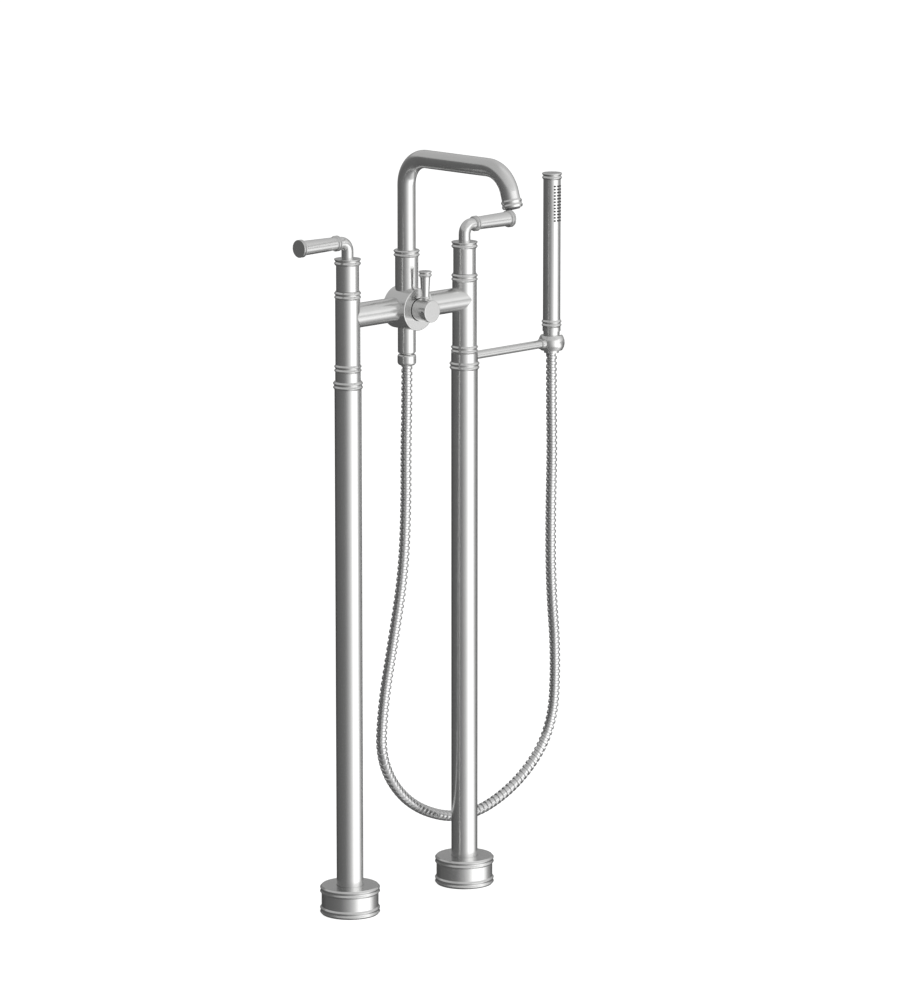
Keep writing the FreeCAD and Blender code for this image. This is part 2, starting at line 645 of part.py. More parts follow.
def lever_collar(side):
    """The beaded collar between elbow and grip, bored for the pegs of both."""
    crest = LEVER_GRIP_D0 + 2 * LEVER_COLLAR_OUT
    base = crest - 2 * BEAD_DEPTH
    bore_r = LEVER_PEG_D / 2 + SEAT_GAP
    first = LEVER_COLLAR_BEADS[0] - LEVER_BEAD_HALF
    section = Outline(bore_r, first).to(base / 2, first)
    section.beads(crest, LEVER_COLLAR_BEADS, LEVER_BEAD_HALF, base)
    section.to(base / 2, LEVER_GRIP_START).to(bore_r, LEVER_GRIP_START)
    return moved(along_x(section.turned(), side), z=LEVER_Z)


def lever_grip(side):
    """The tapered grip, with a peg into the collar and a bore for the end cap."""
    peg_r = LEVER_PEG_D / 2
    peg_start = LEVER_GRIP_START - GRIP_PEG_H
    bore_end = LEVER_GRIP_END - CAP_BORE_H
    section = Outline(0, peg_start).to(peg_r, peg_start).to(peg_r, LEVER_GRIP_START)
    section.to(LEVER_GRIP_D0 / 2, LEVER_GRIP_START).to(LEVER_GRIP_D1 / 2, LEVER_GRIP_END)
    section.to(peg_r + SEAT_GAP, LEVER_GRIP_END).to(peg_r + SEAT_GAP, bore_end).to(0, bore_end)
    return moved(along_x(section.turned(), side), z=LEVER_Z)


def lever_end_cap(side):
    """The end cap: a whole bead, and a second one that the flat end face cuts short."""
    crest = LEVER_GRIP_D1 + 2 * LEVER_CAP_OUT
    base = crest - 2 * BEAD_DEPTH
    peg_r = LEVER_PEG_D / 2
    peg_start = LEVER_GRIP_END - CAP_PEG_H
    end = LEVER_GRIP_END + LEVER_CAP_L
    beads = above(LEVER_GRIP_END, LEVER_CAP_BEADS_UP)
    section = Outline(0, peg_start).to(peg_r, peg_start).to(peg_r, LEVER_GRIP_END)
    section.to(base / 2, LEVER_GRIP_END)
    section.beads_to_face(crest, beads, LEVER_BEAD_HALF, base, end).to(0, end)
    return moved(along_x(section.turned(), side), z=LEVER_Z)


# ---- Bridge and diverter

def barrel_form(start, end, diameter):
    """A round bar on the diverter's axis, from one Y to the other."""
    return moved(along_y(rod(diameter, start, end)), z=BRIDGE_Z)


def bridge_arm(side):
    """One arm of the bridge: a tube cut to the valve's round side and to the barrel's."""
    arm = moved(along_x(ring(BRIDGE_OD, BRIDGE_BORE_D, 0, LEG_X), side), z=BRIDGE_Z)
    arm = arm.cut(moved(rod(VALVE_OD, COLLAR_TOP, VALVE_TOP), x=side * LEG_X))
    return arm.cut(barrel_form(-BARREL_D, BARREL_D, BARREL_D))


def diverter_body():
    """The barrel, bored from the front, with ports to both arms, up to the spout and down to the hose."""
    body = rounded_front(barrel_form(BARREL_FRONT, BARREL_BACK, BARREL_D), BARREL_ROUND)
    cartridge_front = BARREL_FRONT + FACE_RING_T
    body = body.cut(barrel_form(BARREL_FRONT - SMALL, cartridge_front, FACE_RING_D + 2 * SEAT_GAP))
    bore_d = DIVERTER_CARTRIDGE_D + 2 * SEAT_GAP
    body = body.cut(barrel_form(cartridge_front - SMALL, DIVERTER_CARTRIDGE_BACK, bore_d))
    body = body.cut(barrel_form(DIVERTER_CARTRIDGE_BACK - SMALL, CHAMBER_BACK, CHAMBER_D))
    for _, side in SIDES:
        port = moved(along_x(rod(SIDE_PORT_D, 0, BARREL_D), side), z=BRIDGE_Z)
        body = body.cut(port)
    body = body.cut(rod(TOP_PORT_D, BRIDGE_Z, BRIDGE_Z + BARREL_D))
    body = body.cut(rod(LOW_PORT_D, BRIDGE_Z - BARREL_D, BRIDGE_Z))
    return body


def diverter_face_ring():
    """The flat face inside the barrel's rim, with the recess that the knob turns in."""
    recess_d = KNOB_D + 2 * KNOB_RECESS_GAP
    plate = barrel_form(BARREL_FRONT, BARREL_FRONT + FACE_RING_T, FACE_RING_D)
    return plate.cut(barrel_form(BARREL_FRONT - SMALL, BARREL_FRONT + FACE_RING_T + SMALL, recess_d))


def diverter_cartridge():
    front = BARREL_FRONT + FACE_RING_T
    bore_end = DIVERTER_CARTRIDGE_BACK - DIVERTER_CARTRIDGE_FLOOR
    body = barrel_form(front, DIVERTER_CARTRIDGE_BACK, DIVERTER_CARTRIDGE_D)
    return body.cut(barrel_form(front - SMALL, bore_end, DIVERTER_SPINDLE_D + 2 * RUN_GAP))


def diverter_spindle():
    back = DIVERTER_CARTRIDGE_BACK - DIVERTER_CARTRIDGE_FLOOR - FACE_GAP
    return barrel_form(KNOB_FRONT + KNOB_FACE_T, back, DIVERTER_SPINDLE_D)


def diverter_knob():
    """The knob, bored from the back for the spindle, with the stem's socket and the screw's hole."""
    back = BARREL_FRONT + FACE_RING_T - FACE_GAP
    knob = rounded_front(barrel_form(KNOB_FRONT, back, KNOB_D), KNOB_ROUND)
    bore_d = DIVERTER_SPINDLE_D + 2 * SEAT_GAP
    knob = knob.cut(barrel_form(KNOB_FRONT + KNOB_FACE_T, back + SMALL, bore_d))
    top = BRIDGE_Z + KNOB_D / 2
    socket = rod(STEM_NECK_D + 2 * SEAT_GAP, top - STEM_SOCKET_DEPTH, top + SMALL)
    knob = knob.cut(moved(socket, y=STEM_Y))
    hole = rod(KNOB_SCREW_D + 2 * SEAT_GAP, 0, KNOB_D)
    return knob.cut(moved(along_x(hole, -1), y=KNOB_SCREW_Y, z=BRIDGE_Z))


def knob_screw():
    """The set screw in the knob's left side, down on the spindle."""
    end = KNOB_D / 2 - KNOB_SCREW_SINK
    screw = rod(KNOB_SCREW_D, DIVERTER_SPINDLE_D / 2, end).cut(hex_socket(end))
    return moved(along_x(screw, -1), y=KNOB_SCREW_Y, z=BRIDGE_Z)


def diverter_stem():
    """The upright stem on the knob, with a small collar at its foot and a neck in the knob."""
    bottom = BRIDGE_Z + KNOB_D / 2 - STEM_SOCKET_DEPTH
    collar_mid = STEM_FOOT_Z - STEM_COLLAR_H / 2
    peg_top = STEM_CAP_BOTTOM + STEM_PEG_H
    section = Outline(0, bottom).to(STEM_NECK_D / 2, bottom)
    section.to(STEM_NECK_D / 2, STEM_FOOT_Z - STEM_COLLAR_H)
    section.arc(STEM_COLLAR_D / 2, collar_mid, STEM_FOOT_D / 2, STEM_FOOT_Z)
    section.to(STEM_TOP_D / 2, STEM_CAP_BOTTOM)
    section.to(STEM_PEG_D / 2, STEM_CAP_BOTTOM).to(STEM_PEG_D / 2, peg_top).to(0, peg_top)
    return moved(section.turned(), y=STEM_Y)


def diverter_stem_cap():
    """The beaded cap on the stem's peg."""
    bore_r = STEM_PEG_D / 2 + SEAT_GAP
    bore_top = STEM_CAP_BOTTOM + STEM_PEG_H + SEAT_GAP
    crest = STEM_TOP_D + 2 * STEM_BEAD_OUT
    base = crest - 2 * SMALL_BEAD_DEPTH
    top = STEM_CAP_BOTTOM + STEM_CAP_H
    section = Outline(bore_r, STEM_CAP_BOTTOM).to(base / 2, STEM_CAP_BOTTOM)
    section.beads_to_face(crest, above(STEM_CAP_BOTTOM, STEM_BEADS_UP), STEM_BEAD_HALF, base, top)
    section.to(0, top).to(0, bore_top).to(bore_r, bore_top)
    return moved(section.turned(), y=STEM_Y)


# ---- Spout

def spout_base():
    """The fixed tube that the spout turns in, cut to the barrel's round top."""
    crest = BASE_OD + 2 * BASE_BEAD_OUT
    base = crest - 2 * BEAD_DEPTH
    beads = below(BASE_TOP, BASE_BEADS_DOWN)
    bore_r = SPOUT_OD / 2 + RUN_GAP
    way_r = TOP_PORT_D / 2
    section = Outline(way_r, BRIDGE_Z).to(BASE_OD / 2, BRIDGE_Z)
    section.to(BASE_OD / 2, beads[0] - SMALL_BEAD_HALF)
    section.beads_to_face(crest, beads, SMALL_BEAD_HALF, base, BASE_TOP)
    section.to(bore_r, BASE_TOP).to(bore_r, BASE_SHOULDER)
    section.to(way_r, BASE_SHOULDER)
    tube = section.turned().cut(barrel_form(-BARREL_D, BARREL_D, BARREL_D))
    hole = rod(SET_SCREW_D + 2 * SEAT_GAP, 0, BASE_OD)
    return tube.cut(moved(along_y(hole), z=SPOUT_SCREW_Z))


def spout_screw():
    """The set screw at the back of the base, whose tip keeps the spout from lifting out."""
    tip_r = SPOUT_OD / 2 - SPOUT_GROOVE_DEPTH + FACE_GAP
    neck_r = SPOUT_OD / 2 + FACE_GAP
    end = BASE_OD / 2 - SPOUT_SCREW_SINK
    tip = rod(SPOUT_GROOVE_H - 2 * FACE_GAP, tip_r, neck_r)
    screw = joined([rod(SET_SCREW_D, neck_r, end), tip]).cut(hex_socket(end))
    return moved(along_y(screw), z=SPOUT_SCREW_Z)


def spout_tangent():
    """The direction in which the water leaves, in the plane of the spout."""
    turn = math.radians(SPOUT_TURN_DEG)
    return V(0, -math.cos(turn), -math.sin(turn))


def spout_bend_end():
    turn = math.radians(SPOUT_TURN_DEG)
    y = SPOUT_ARM_END_Y - SPOUT_SECOND_BEND_R * math.sin(turn)
    z = SPOUT_ARM_Z - SPOUT_SECOND_BEND_R * (1 - math.cos(turn))
    return V(0, y, z)


def spout_path(bottom):
    """Straight up, over the first bend, along the arm and down the second bend to the outlet."""
    bend_z = SPOUT_ARM_Z - SPOUT_FIRST_BEND_R
    diagonal = SPOUT_FIRST_BEND_R * math.sqrt(0.5)
    first_mid = V(0, -SPOUT_FIRST_BEND_R + diagonal, bend_z + diagonal)
    arm_start = V(0, -SPOUT_FIRST_BEND_R, SPOUT_ARM_Z)
    arm_end = V(0, SPOUT_ARM_END_Y, SPOUT_ARM_Z)
    half_turn = math.radians(SPOUT_TURN_DEG) / 2
    second_mid = V(0, SPOUT_ARM_END_Y - SPOUT_SECOND_BEND_R * math.sin(half_turn),
                   SPOUT_ARM_Z - SPOUT_SECOND_BEND_R * (1 - math.cos(half_turn)))
    bend_end = spout_bend_end()
    return [
        Part.LineSegment(V(0, 0, bottom), V(0, 0, bend_z)).toShape(),
        Part.Arc(V(0, 0, bend_z), first_mid, arm_start).toShape(),
        Part.LineSegment(arm_start, arm_end).toShape(),
        Part.Arc(arm_end, second_mid, bend_end).toShape(),
        Part.LineSegment(bend_end, bend_end + spout_tangent() * SPOUT_DROP).toShape(),
    ]


def at_outlet(shape):
    """Puts a piece that was turned about Z on the outlet: its height runs down the drop."""
    tilt = turned_copy(shape, V(1, 0, 0), 90 + SPOUT_TURN_DEG)
    return moved(tilt, y=spout_bend_end().y, z=spout_bend_end().z)


def spout_tube():
    tube = pipe_along(spout_path(SPOUT_BOTTOM), SPOUT_OD)
    tube = tube.cut(pipe_along(spout_path(SPOUT_FOOT_TOP), SPOUT_BORE_D))
    tube = tube.cut(rod(SPOUT_FOOT_BORE_D, SPOUT_BOTTOM - SMALL, SPOUT_FOOT_TOP + SMALL))
    for height in SPOUT_O_RING_Z:
        half = O_RING_CORD_D / 2 + SEAT_GAP
        groove_d = SPOUT_OD - 2 * O_RING_CORD_D - 2 * SEAT_GAP
        tube = tube.cut(ring(SPOUT_OD + 2 * SMALL, groove_d, height - half, height + half))
    low, high = SPOUT_SCREW_Z - SPOUT_GROOVE_H / 2, SPOUT_SCREW_Z + SPOUT_GROOVE_H / 2
    return tube.cut(ring(SPOUT_OD + 2 * SMALL, SPOUT_OD - 2 * SPOUT_GROOVE_DEPTH, low, high))


def spout_o_rings():
    centre_r = SPOUT_OD / 2 - O_RING_CORD_D / 2
    rings = [Part.makeTorus(centre_r, O_RING_CORD_D / 2, V(0, 0, height)) for height in SPOUT_O_RING_Z]
    return Part.makeCompound(rings)


def spout_tip_ring():
    """The beaded ring round the outlet, with a lip under the tube's end."""
    crest = SPOUT_OD + 2 * TIP_BEAD_OUT
    base = crest - 2 * THIN_BEAD_DEPTH
    bore_r = SPOUT_OD / 2 + SEAT_GAP
    lip_r = AERATOR_D / 2 + SEAT_GAP
    end = TIP_START + TIP_L
    section = Outline(bore_r, TIP_START).to(base / 2, TIP_START)
    section.beads(crest, above(TIP_START, TIP_BEADS_UP), BEAD_HALF, base)
    section.to(base / 2, end).to(lip_r, end).to(lip_r, SPOUT_DROP).to(bore_r, SPOUT_DROP)
    return at_outlet(section.turned())


def aerator():
    """The insert in the outlet: a cup with a screen of small holes."""
    bore_d = AERATOR_D - 2 * AERATOR_WALL
    screen_low = AERATOR_END - SCREEN_SINK
    cup = rod(AERATOR_D, AERATOR_START, AERATOR_END)
    cup = cup.cut(rod(bore_d, AERATOR_START - SMALL, screen_low - SCREEN_T))
    cup = cup.cut(rod(bore_d, screen_low, AERATOR_END + SMALL))
    for count, radius in SCREEN_RINGS:
        for place in range(count):
            hole = moved(rod(SCREEN_HOLE_D, AERATOR_START, AERATOR_END), x=radius)
            cup = cup.cut(turned_copy(hole, UP, 360 * place / count))
    return at_outlet(cup)


# ---- Hose outlet and hose

def hose_outlet():
    """The tube under the barrel, with the neck that the outlet nut screws on."""
    neck_bottom = OUTLET_BOTTOM - OUTLET_NECK_H
    section = Outline(OUTLET_BORE_D / 2, neck_bottom).to(OUTLET_NECK_D / 2, neck_bottom)
    section.to(OUTLET_NECK_D / 2, OUTLET_BOTTOM).to(OUTLET_OD / 2 - OUTLET_CHAMFER, OUTLET_BOTTOM)
    section.to(OUTLET_OD / 2, OUTLET_BOTTOM + OUTLET_CHAMFER).to(OUTLET_OD / 2, BRIDGE_Z)
    section.to(OUTLET_BORE_D / 2, BRIDGE_Z)
    return section.turned().cut(barrel_form(-BARREL_D, BARREL_D, BARREL_D))


def outlet_nut():
    """The rounded nut that holds the hose on the outlet."""
    outer_r = NUT_D / 2
    neck_r = OUTLET_NECK_D / 2 + SEAT_GAP
    section = Outline(HOSE_BORE_D / 2, NUT_BOTTOM).to(outer_r - NUT_LOW_ROUND, NUT_BOTTOM)
    section.rounded(outer_r, NUT_BOTTOM, outer_r, NUT_BOTTOM + NUT_LOW_ROUND)
    section.to(outer_r, NUT_TOP - NUT_TOP_ROUND)
    section.rounded(outer_r, NUT_TOP, outer_r - NUT_TOP_ROUND, NUT_TOP)
    section.to(neck_r, NUT_TOP).to(neck_r, WASHER_Z).to(HOSE_BORE_D / 2, WASHER_Z)
    return section.turned()


def outlet_washer():
    return ring(OUTLET_NECK_D, OUTLET_BORE_D, WASHER_Z, WASHER_Z + WASHER_T)


def cone_washer():
    outer_d = CONE_SOCKET_D - 2 * SEAT_GAP
    return moved(ring(outer_d, OUTLET_BORE_D, CONE_SEAT_Z, CONE_SEAT_Z + WASHER_T), x=SHOWER_X)


def route_pieces(corners):
    """Straight runs and tangent arcs through the corners: (kind, data, length) for each, and the radii."""
    points = [V(*corner) for corner in corners]
    pieces, radii, here = [], [], points[0]
    for before, corner, after in zip(points, points[1:], points[2:]):
        into, out = corner - before, after - corner
        shorter = min(into.Length, out.Length)
        into.normalize()
        out.normalize()
        turn = into.getAngle(out)
        radius = ARC_SHARE * shorter / math.tan(turn / 2) if turn > 1e-6 else 0.0
        if not radius:
            continue
        cut = radius * math.tan(turn / 2)
        start, end = corner - into * cut, corner + out * cut
        normal = into.cross(out)
        normal.normalize()
        inward = normal.cross(into)
        centre = start + inward * radius
        pieces.append(("run", (here, start), (start - here).Length))
        pieces.append(("arc", (centre, start - centre, normal, turn), radius * turn))
        radii.append(radius)
        here = end
    pieces.append(("run", (here, points[-1]), (points[-1] - here).Length))
    return pieces, radii


def place_on(pieces, distance):
    """The point and the direction of the route at a distance from its start."""
    for kind, data, length in pieces:
        if distance <= length or (kind, data, length) == pieces[-1]:
            break
        distance -= length
    if kind == "run":
        direction = data[1] - data[0]
        direction.normalize()
        return data[0] + direction * distance, direction
    centre, arm, normal, turn = data
    rotation = FreeCAD.Rotation(normal, math.degrees(turn * distance / length))
    arm = rotation.multVec(arm)
    direction = normal.cross(arm)
    direction.normalize()
    return centre + arm, direction


def hose_circle(pieces, distance, diameter):
    """A circle across the hose whose X axis stays as near to +Y as the hose's direction allows."""
    point, direction = place_on(pieces, distance)
    steady = V(0, 1, 0) - direction * direction.dot(V(0, 1, 0))
    steady.normalize()
    across = direction.cross(steady)
    placement = FreeCAD.Placement(point, FreeCAD.Rotation(steady, across, direction, "XYZ"))
    circle = Part.makeCircle(diameter / 2)
    circle.Placement = placement
    return Part.Wire([circle])


def hose():
    """The ribbed hose: four circles for each rib, straight ends, and a round bore all along."""
    pieces, radii = route_pieces(HOSE_ROUTE)
    length = sum(piece[2] for piece in pieces)
    pitch = (length - 2 * HOSE_D) / HOSE_RIBS
    print("hose: length", round(length, 1), "rib pitch", round(pitch, 2))
    print("hose: arc radii", [round(radius) for radius in radii])
    stations = [(0.0, HOSE_GROOVE_D)]
    for rib in range(HOSE_RIBS):
        stations += [(HOSE_D + (rib + share) * pitch, diameter) for share, diameter in RIB_SHAPE]
    stations.append((length, HOSE_GROOVE_D))
    outer = Part.makeLoft([hose_circle(pieces, at, size) for at, size in stations], False, True)
    inner = Part.makeLoft([hose_circle(pieces, at, HOSE_BORE_D) for at, _ in stations], False, True)
    faces = list(outer.Faces) + list(inner.Faces)
    for at in (0.0, length):
        rim = [hose_circle(pieces, at, HOSE_GROOVE_D), hose_circle(pieces, at, HOSE_BORE_D)]
        faces.append(Part.Face(rim, "Part::FaceMakerBullseye"))
    shell = Part.makeShell(faces)
    shell.sewShape()
    solid = Part.Solid(shell)
    solid.fix(1e-5, 1e-5, 1e-5)
    if solid.Volume < 0:
        solid.reverse()
    expected = sum((b - a) * math.pi / 4 * ((c * c + c * d + d * d) / 3 - HOSE_BORE_D ** 2)
                   for (a, c), (b, d) in zip(stations, stations[1:]))
    print("hose: volume", round(solid.Volume), "section times length", round(expected))
    return solid


# ---- Hand shower and cradle

def at_shower(shape):
    return moved(shape, x=SHOWER_X)


def nozzle_places():
    """The turn about the hand shower's axis and the height of every nozzle."""
    heights = [NOZZLE_TOP - row * NOZZLE_PITCH for row in range(NOZZLE_ROWS)]
    return [(turn, height) for turn in NOZZLE_COLUMNS_DEG for height in heights]


def nozzle_pin(diameter, inner_r, outer_r, turn, height):
    """A short round bar that points out of the hand shower towards -Y, turned to its column."""
    pin = Part.makeCylinder(diameter / 2, outer_r - inner_r, V(0, -inner_r, height), V(0, -1, 0))
    return turned_copy(pin, UP, turn)


def hand_shower_tube():
    """The tube, with a hole for every nozzle in its front."""
    tube = ring(SHOWER_OD, SHOWER_BORE_D, SHOWER_RING_TOP, SHOWER_TOP)
    hole_d = NOZZLE_D + 2 * SEAT_GAP
    inner_r = SHOWER_BORE_D / 2 - SMALL
    holes = [nozzle_pin(hole_d, inner_r, SHOWER_OD, *place) for place in nozzle_places()]
    return at_shower(tube.cut(Part.makeCompound(holes)))


def nozzle_mat():
    """The soft mat behind the spray face, with a nozzle through each hole."""
    outer_r = SHOWER_BORE_D / 2 - SEAT_GAP
    top = NOZZLE_TOP + NOZZLE_MAT_MARGIN
    bottom = NOZZLE_TOP - (NOZZLE_ROWS - 1) * NOZZLE_PITCH - NOZZLE_MAT_MARGIN
    span = NOZZLE_COLUMNS_DEG[-1] - NOZZLE_COLUMNS_DEG[0] + 2 * NOZZLE_MAT_SIDE_DEG
    shell = Part.makeCylinder(outer_r, top - bottom, V(0, 0, bottom), UP, span)
    shell = shell.cut(rod(2 * (outer_r - NOZZLE_MAT_T), bottom - SMALL, top + SMALL))
    middle = (NOZZLE_COLUMNS_DEG[0] + NOZZLE_COLUMNS_DEG[-1]) / 2
    shell = turned_copy(shell, UP, middle - 90 - span / 2)
    tip_r = SHOWER_OD / 2 + NOZZLE_STAND
    pins = [nozzle_pin(NOZZLE_D, outer_r - NOZZLE_MAT_T / 2, tip_r, *place) for place in nozzle_places()]
    return at_shower(shell.fuse(pins))


def hand_shower_cap():
    """The beaded cap on top, with a plug down into the tube."""
    base = SHOWER_BEAD_D - 2 * BEAD_DEPTH
    plug_r = SHOWER_BORE_D / 2 - SEAT_GAP
    plug_low = SHOWER_TOP - SHOWER_CAP_PLUG_H
    section = Outline(0, plug_low).to(plug_r, plug_low).to(plug_r, SHOWER_TOP)
    beads = above(SHOWER_TOP, SHOWER_CAP_BEADS_UP)
    top = SHOWER_TOP + SHOWER_CAP_H
    section.to(base / 2, SHOWER_TOP)
    section.beads_to_face(SHOWER_BEAD_D, beads, BEAD_HALF, base, top).to(0, top)
    return at_shower(section.turned())


def hand_shower_ring():
    """The beaded ring at the lower end, with a plug up into the tube and a tail into the cone nut."""
    base = SHOWER_BEAD_D - 2 * BEAD_DEPTH
    plug_r = SHOWER_BORE_D / 2 - SEAT_GAP
    plug_top = SHOWER_RING_TOP + SHOWER_PLUG_H
    tail_r = CONE_SOCKET_D / 2 - RUN_GAP
    way_r = OUTLET_BORE_D / 2
    tail_bottom = CONE_SEAT_Z + WASHER_T + FACE_GAP
    section = Outline(way_r, tail_bottom).to(tail_r, tail_bottom).to(tail_r, SHOWER_BOTTOM)
    section.to(base / 2, SHOWER_BOTTOM)
    section.beads(SHOWER_BEAD_D, above(SHOWER_BOTTOM, SHOWER_RING_BEADS_UP), BEAD_HALF, base)
    section.to(base / 2, SHOWER_RING_TOP).to(plug_r, SHOWER_RING_TOP)
    section.to(plug_r, plug_top).to(way_r, plug_top)
    return at_shower(section.turned())


def cone_nut():
    """The conical nut at the hose's end, which sits in the cradle."""
    section = Outline(HOSE_BORE_D / 2, CONE_BOTTOM).to(CONE_BOTTOM_D / 2, CONE_BOTTOM)
    section.to(CONE_TOP_D / 2, CONE_RIM_Z - CONE_STEP_H).to(CONE_TOP_D / 2, CONE_RIM_Z)
    section.to(CONE_STEP_D / 2, CONE_RIM_Z).to(CONE_STEP_D / 2, CONE_TOP)
    section.to(CONE_SOCKET_D / 2, CONE_TOP).to(CONE_SOCKET_D / 2, CONE_SEAT_Z)
    section.to(HOSE_BORE_D / 2, CONE_SEAT_Z)
    return at_shower(section.turned())


def cradle_ball():
    """The cradle: a ball cut flat above and below, with a conical seat and a slot for the hose."""
    low = CRADLE_Z - BALL_LOW_H
    high = CRADLE_Z + BALL_TOP_H
    ball = Part.makeSphere(BALL_D / 2, V(0, 0, CRADLE_Z)).common(rod(2 * BALL_D, low, high))
    slope = (CONE_TOP_D - CONE_BOTTOM_D) / (CONE_H - CONE_RIM_H - CONE_STEP_H)
    low -= SMALL
    high += SMALL
    low_r = (CONE_BOTTOM_D + slope * (low - CONE_BOTTOM)) / 2 + CRADLE_SEAT_GAP
    high_r = (CONE_BOTTOM_D + slope * (high - CONE_BOTTOM)) / 2 + CRADLE_SEAT_GAP
    ball = ball.cut(Part.makeCone(low_r, high_r, high - low, V(0, 0, low)))
    width = HOSE_D + 2 * HOSE_SLOT_GAP
    slot = Part.makeBox(BALL_D, width, BALL_D, V(0, -width / 2, CRADLE_Z - BALL_D / 2))
    ball = ball.cut(slot)
    peg_hole = rod(ARM_PEG_D + 2 * SEAT_GAP, ARM_PEG_END_R, BALL_D)
    return at_shower(ball.cut(moved(along_x(peg_hole, -1), z=CRADLE_Z)))


def cradle_arm():
    """The thin arm from the bracket collar to the ball, with a peg at each end."""
    collar_r = RIGHT_COLLAR["body"] / 2
    arm = moved(along_x(rod(ARM_OD, LEG_X, SHOWER_X), 1), z=CRADLE_Z)
    arm = arm.cut(moved(rod(RIGHT_COLLAR["body"], LEG_TOP, COLLAR_TOP), x=LEG_X))
    arm = arm.cut(Part.makeSphere(BALL_D / 2, V(SHOWER_X, 0, CRADLE_Z)))
    arm = max(arm.Solids, key=lambda solid: solid.Volume)
    bar = rod(ARM_PEG_D, LEG_X + collar_r - ARM_PEG_H, SHOWER_X - ARM_PEG_END_R)
    return joined([arm, moved(along_x(bar, 1), z=CRADLE_Z)])


def arm_ferrule():
    """The short ring that hides the joint of the arm and the ball."""
    start = SHOWER_X - FERRULE_BACK
    end = SHOWER_X - BALL_D / 4
    outer_r = ARM_OD / 2 + FERRULE_WALL
    bore_r = ARM_OD / 2 + SEAT_GAP
    section = Outline(bore_r, start).to(outer_r - FERRULE_CHAMFER, start)
    section.to(outer_r, start + FERRULE_CHAMFER).to(outer_r, end).to(bore_r, end)
    sleeve = moved(along_x(section.turned(), 1), z=CRADLE_Z)
    return sleeve.cut(Part.makeSphere(BALL_D / 2, V(SHOWER_X, 0, CRADLE_Z)))


# ---- All nodes

for name, side in SIDES:
    x = side * LEG_X
    write("foot_plate_" + name, moved(foot_plate(), x))
    write("floor_flange_" + name, moved(floor_flange(), x))
    write("leg_tube_" + name, moved(leg_tube(), x))
    write("supply_pipe_" + name, moved(supply_pipe(), x))
    write("valve_body_" + name, moved(valve_body(side), x))
    write("bonnet_ring_" + name, moved(bonnet_ring(), x))
    write("valve_cartridge_" + name, moved(valve_cartridge(side), x))
    write("valve_spindle_" + name, moved(valve_spindle(), x))
    write("handle_hub_" + name, moved(handle_hub(), x))
    write("hub_screw_" + name, moved(hub_screw(), x))
    write("lever_elbow_" + name, moved(lever_elbow(side), x))
    write("lever_collar_" + name, moved(lever_collar(side), x))
    write("lever_grip_" + name, moved(lever_grip(side), x))
    write("lever_end_cap_" + name, moved(lever_end_cap(side), x))
    write("bridge_arm_" + name, bridge_arm(side))

write("flange_o_rings", flange_o_rings())
write("leg_collar", moved(leg_collar(LEFT_COLLAR), -LEG_X))
write("bracket_collar", moved(bracket_collar(), LEG_X))
write("diverter_body", diverter_body())
write("diverter_face_ring", diverter_face_ring())
write("diverter_cartridge", diverter_cartridge())
write("diverter_spindle", diverter_spindle())
write("diverter_knob", diverter_knob())
write("knob_screw", knob_screw())
write("diverter_stem", diverter_stem())
write("diverter_stem_cap", diverter_stem_cap())
write("spout_base", spout_base())
write("spout_screw", spout_screw())
write("spout_tube", spout_tube())
write("spout_o_rings", spout_o_rings())
write("spout_tip_ring", spout_tip_ring())
write("aerator", aerator())
write("hose_outlet", hose_outlet())
write("outlet_nut", outlet_nut())
write("outlet_washer", outlet_washer())
write("cone_washer", cone_washer())
write("hose", hose())
write("cone_nut", cone_nut())
write("hand_shower_ring", hand_shower_ring())
write("hand_shower_tube", hand_shower_tube())
write("hand_shower_cap", hand_shower_cap())
write("nozzle_mat", nozzle_mat())
write("cradle_arm", cradle_arm())
write("arm_ferrule", arm_ferrule())
write("cradle_ball", cradle_ball())
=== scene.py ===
# %% [markdown]
# # A floor standing bath filler
# Two round legs carry two lever valves, a bridge with a diverter and a spout, and a hand shower on a
# ribbed hose. Its tubes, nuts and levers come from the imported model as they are, at their real size in
# metres. Here they get their finish, and the pieces that a machinist's model can't show well are made
# anew: the ribbed hose and the spray nozzles.

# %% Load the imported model
import json
import math

import bpy
from mathutils import Matrix, Vector


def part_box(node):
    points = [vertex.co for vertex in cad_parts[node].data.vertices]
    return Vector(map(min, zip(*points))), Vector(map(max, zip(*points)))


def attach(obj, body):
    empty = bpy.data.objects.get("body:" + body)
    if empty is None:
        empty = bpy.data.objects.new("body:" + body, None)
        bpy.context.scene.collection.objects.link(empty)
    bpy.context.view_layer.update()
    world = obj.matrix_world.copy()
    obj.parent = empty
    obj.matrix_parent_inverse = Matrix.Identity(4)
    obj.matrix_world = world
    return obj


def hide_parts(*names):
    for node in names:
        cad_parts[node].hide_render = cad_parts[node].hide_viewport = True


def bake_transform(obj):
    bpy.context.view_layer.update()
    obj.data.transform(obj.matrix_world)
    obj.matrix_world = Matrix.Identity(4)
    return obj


MM = 0.001
TINY = 0.001
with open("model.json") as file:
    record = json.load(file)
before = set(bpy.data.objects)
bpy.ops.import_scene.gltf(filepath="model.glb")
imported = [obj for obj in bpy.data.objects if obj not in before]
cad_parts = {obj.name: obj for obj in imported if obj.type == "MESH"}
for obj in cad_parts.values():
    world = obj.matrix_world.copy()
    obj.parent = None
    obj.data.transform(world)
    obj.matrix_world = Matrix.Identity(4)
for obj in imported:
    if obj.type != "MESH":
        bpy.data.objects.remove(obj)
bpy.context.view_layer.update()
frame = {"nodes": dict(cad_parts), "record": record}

# %% [markdown]
# ## Camera
# The photograph looks along the diagonal between the front and the left side, a little from above and
# from far away, so verticals nearly stay parallel. The place, the two angles and the focal length were
# worked out from where the legs, the bridge and the hand shower stand in the photograph.

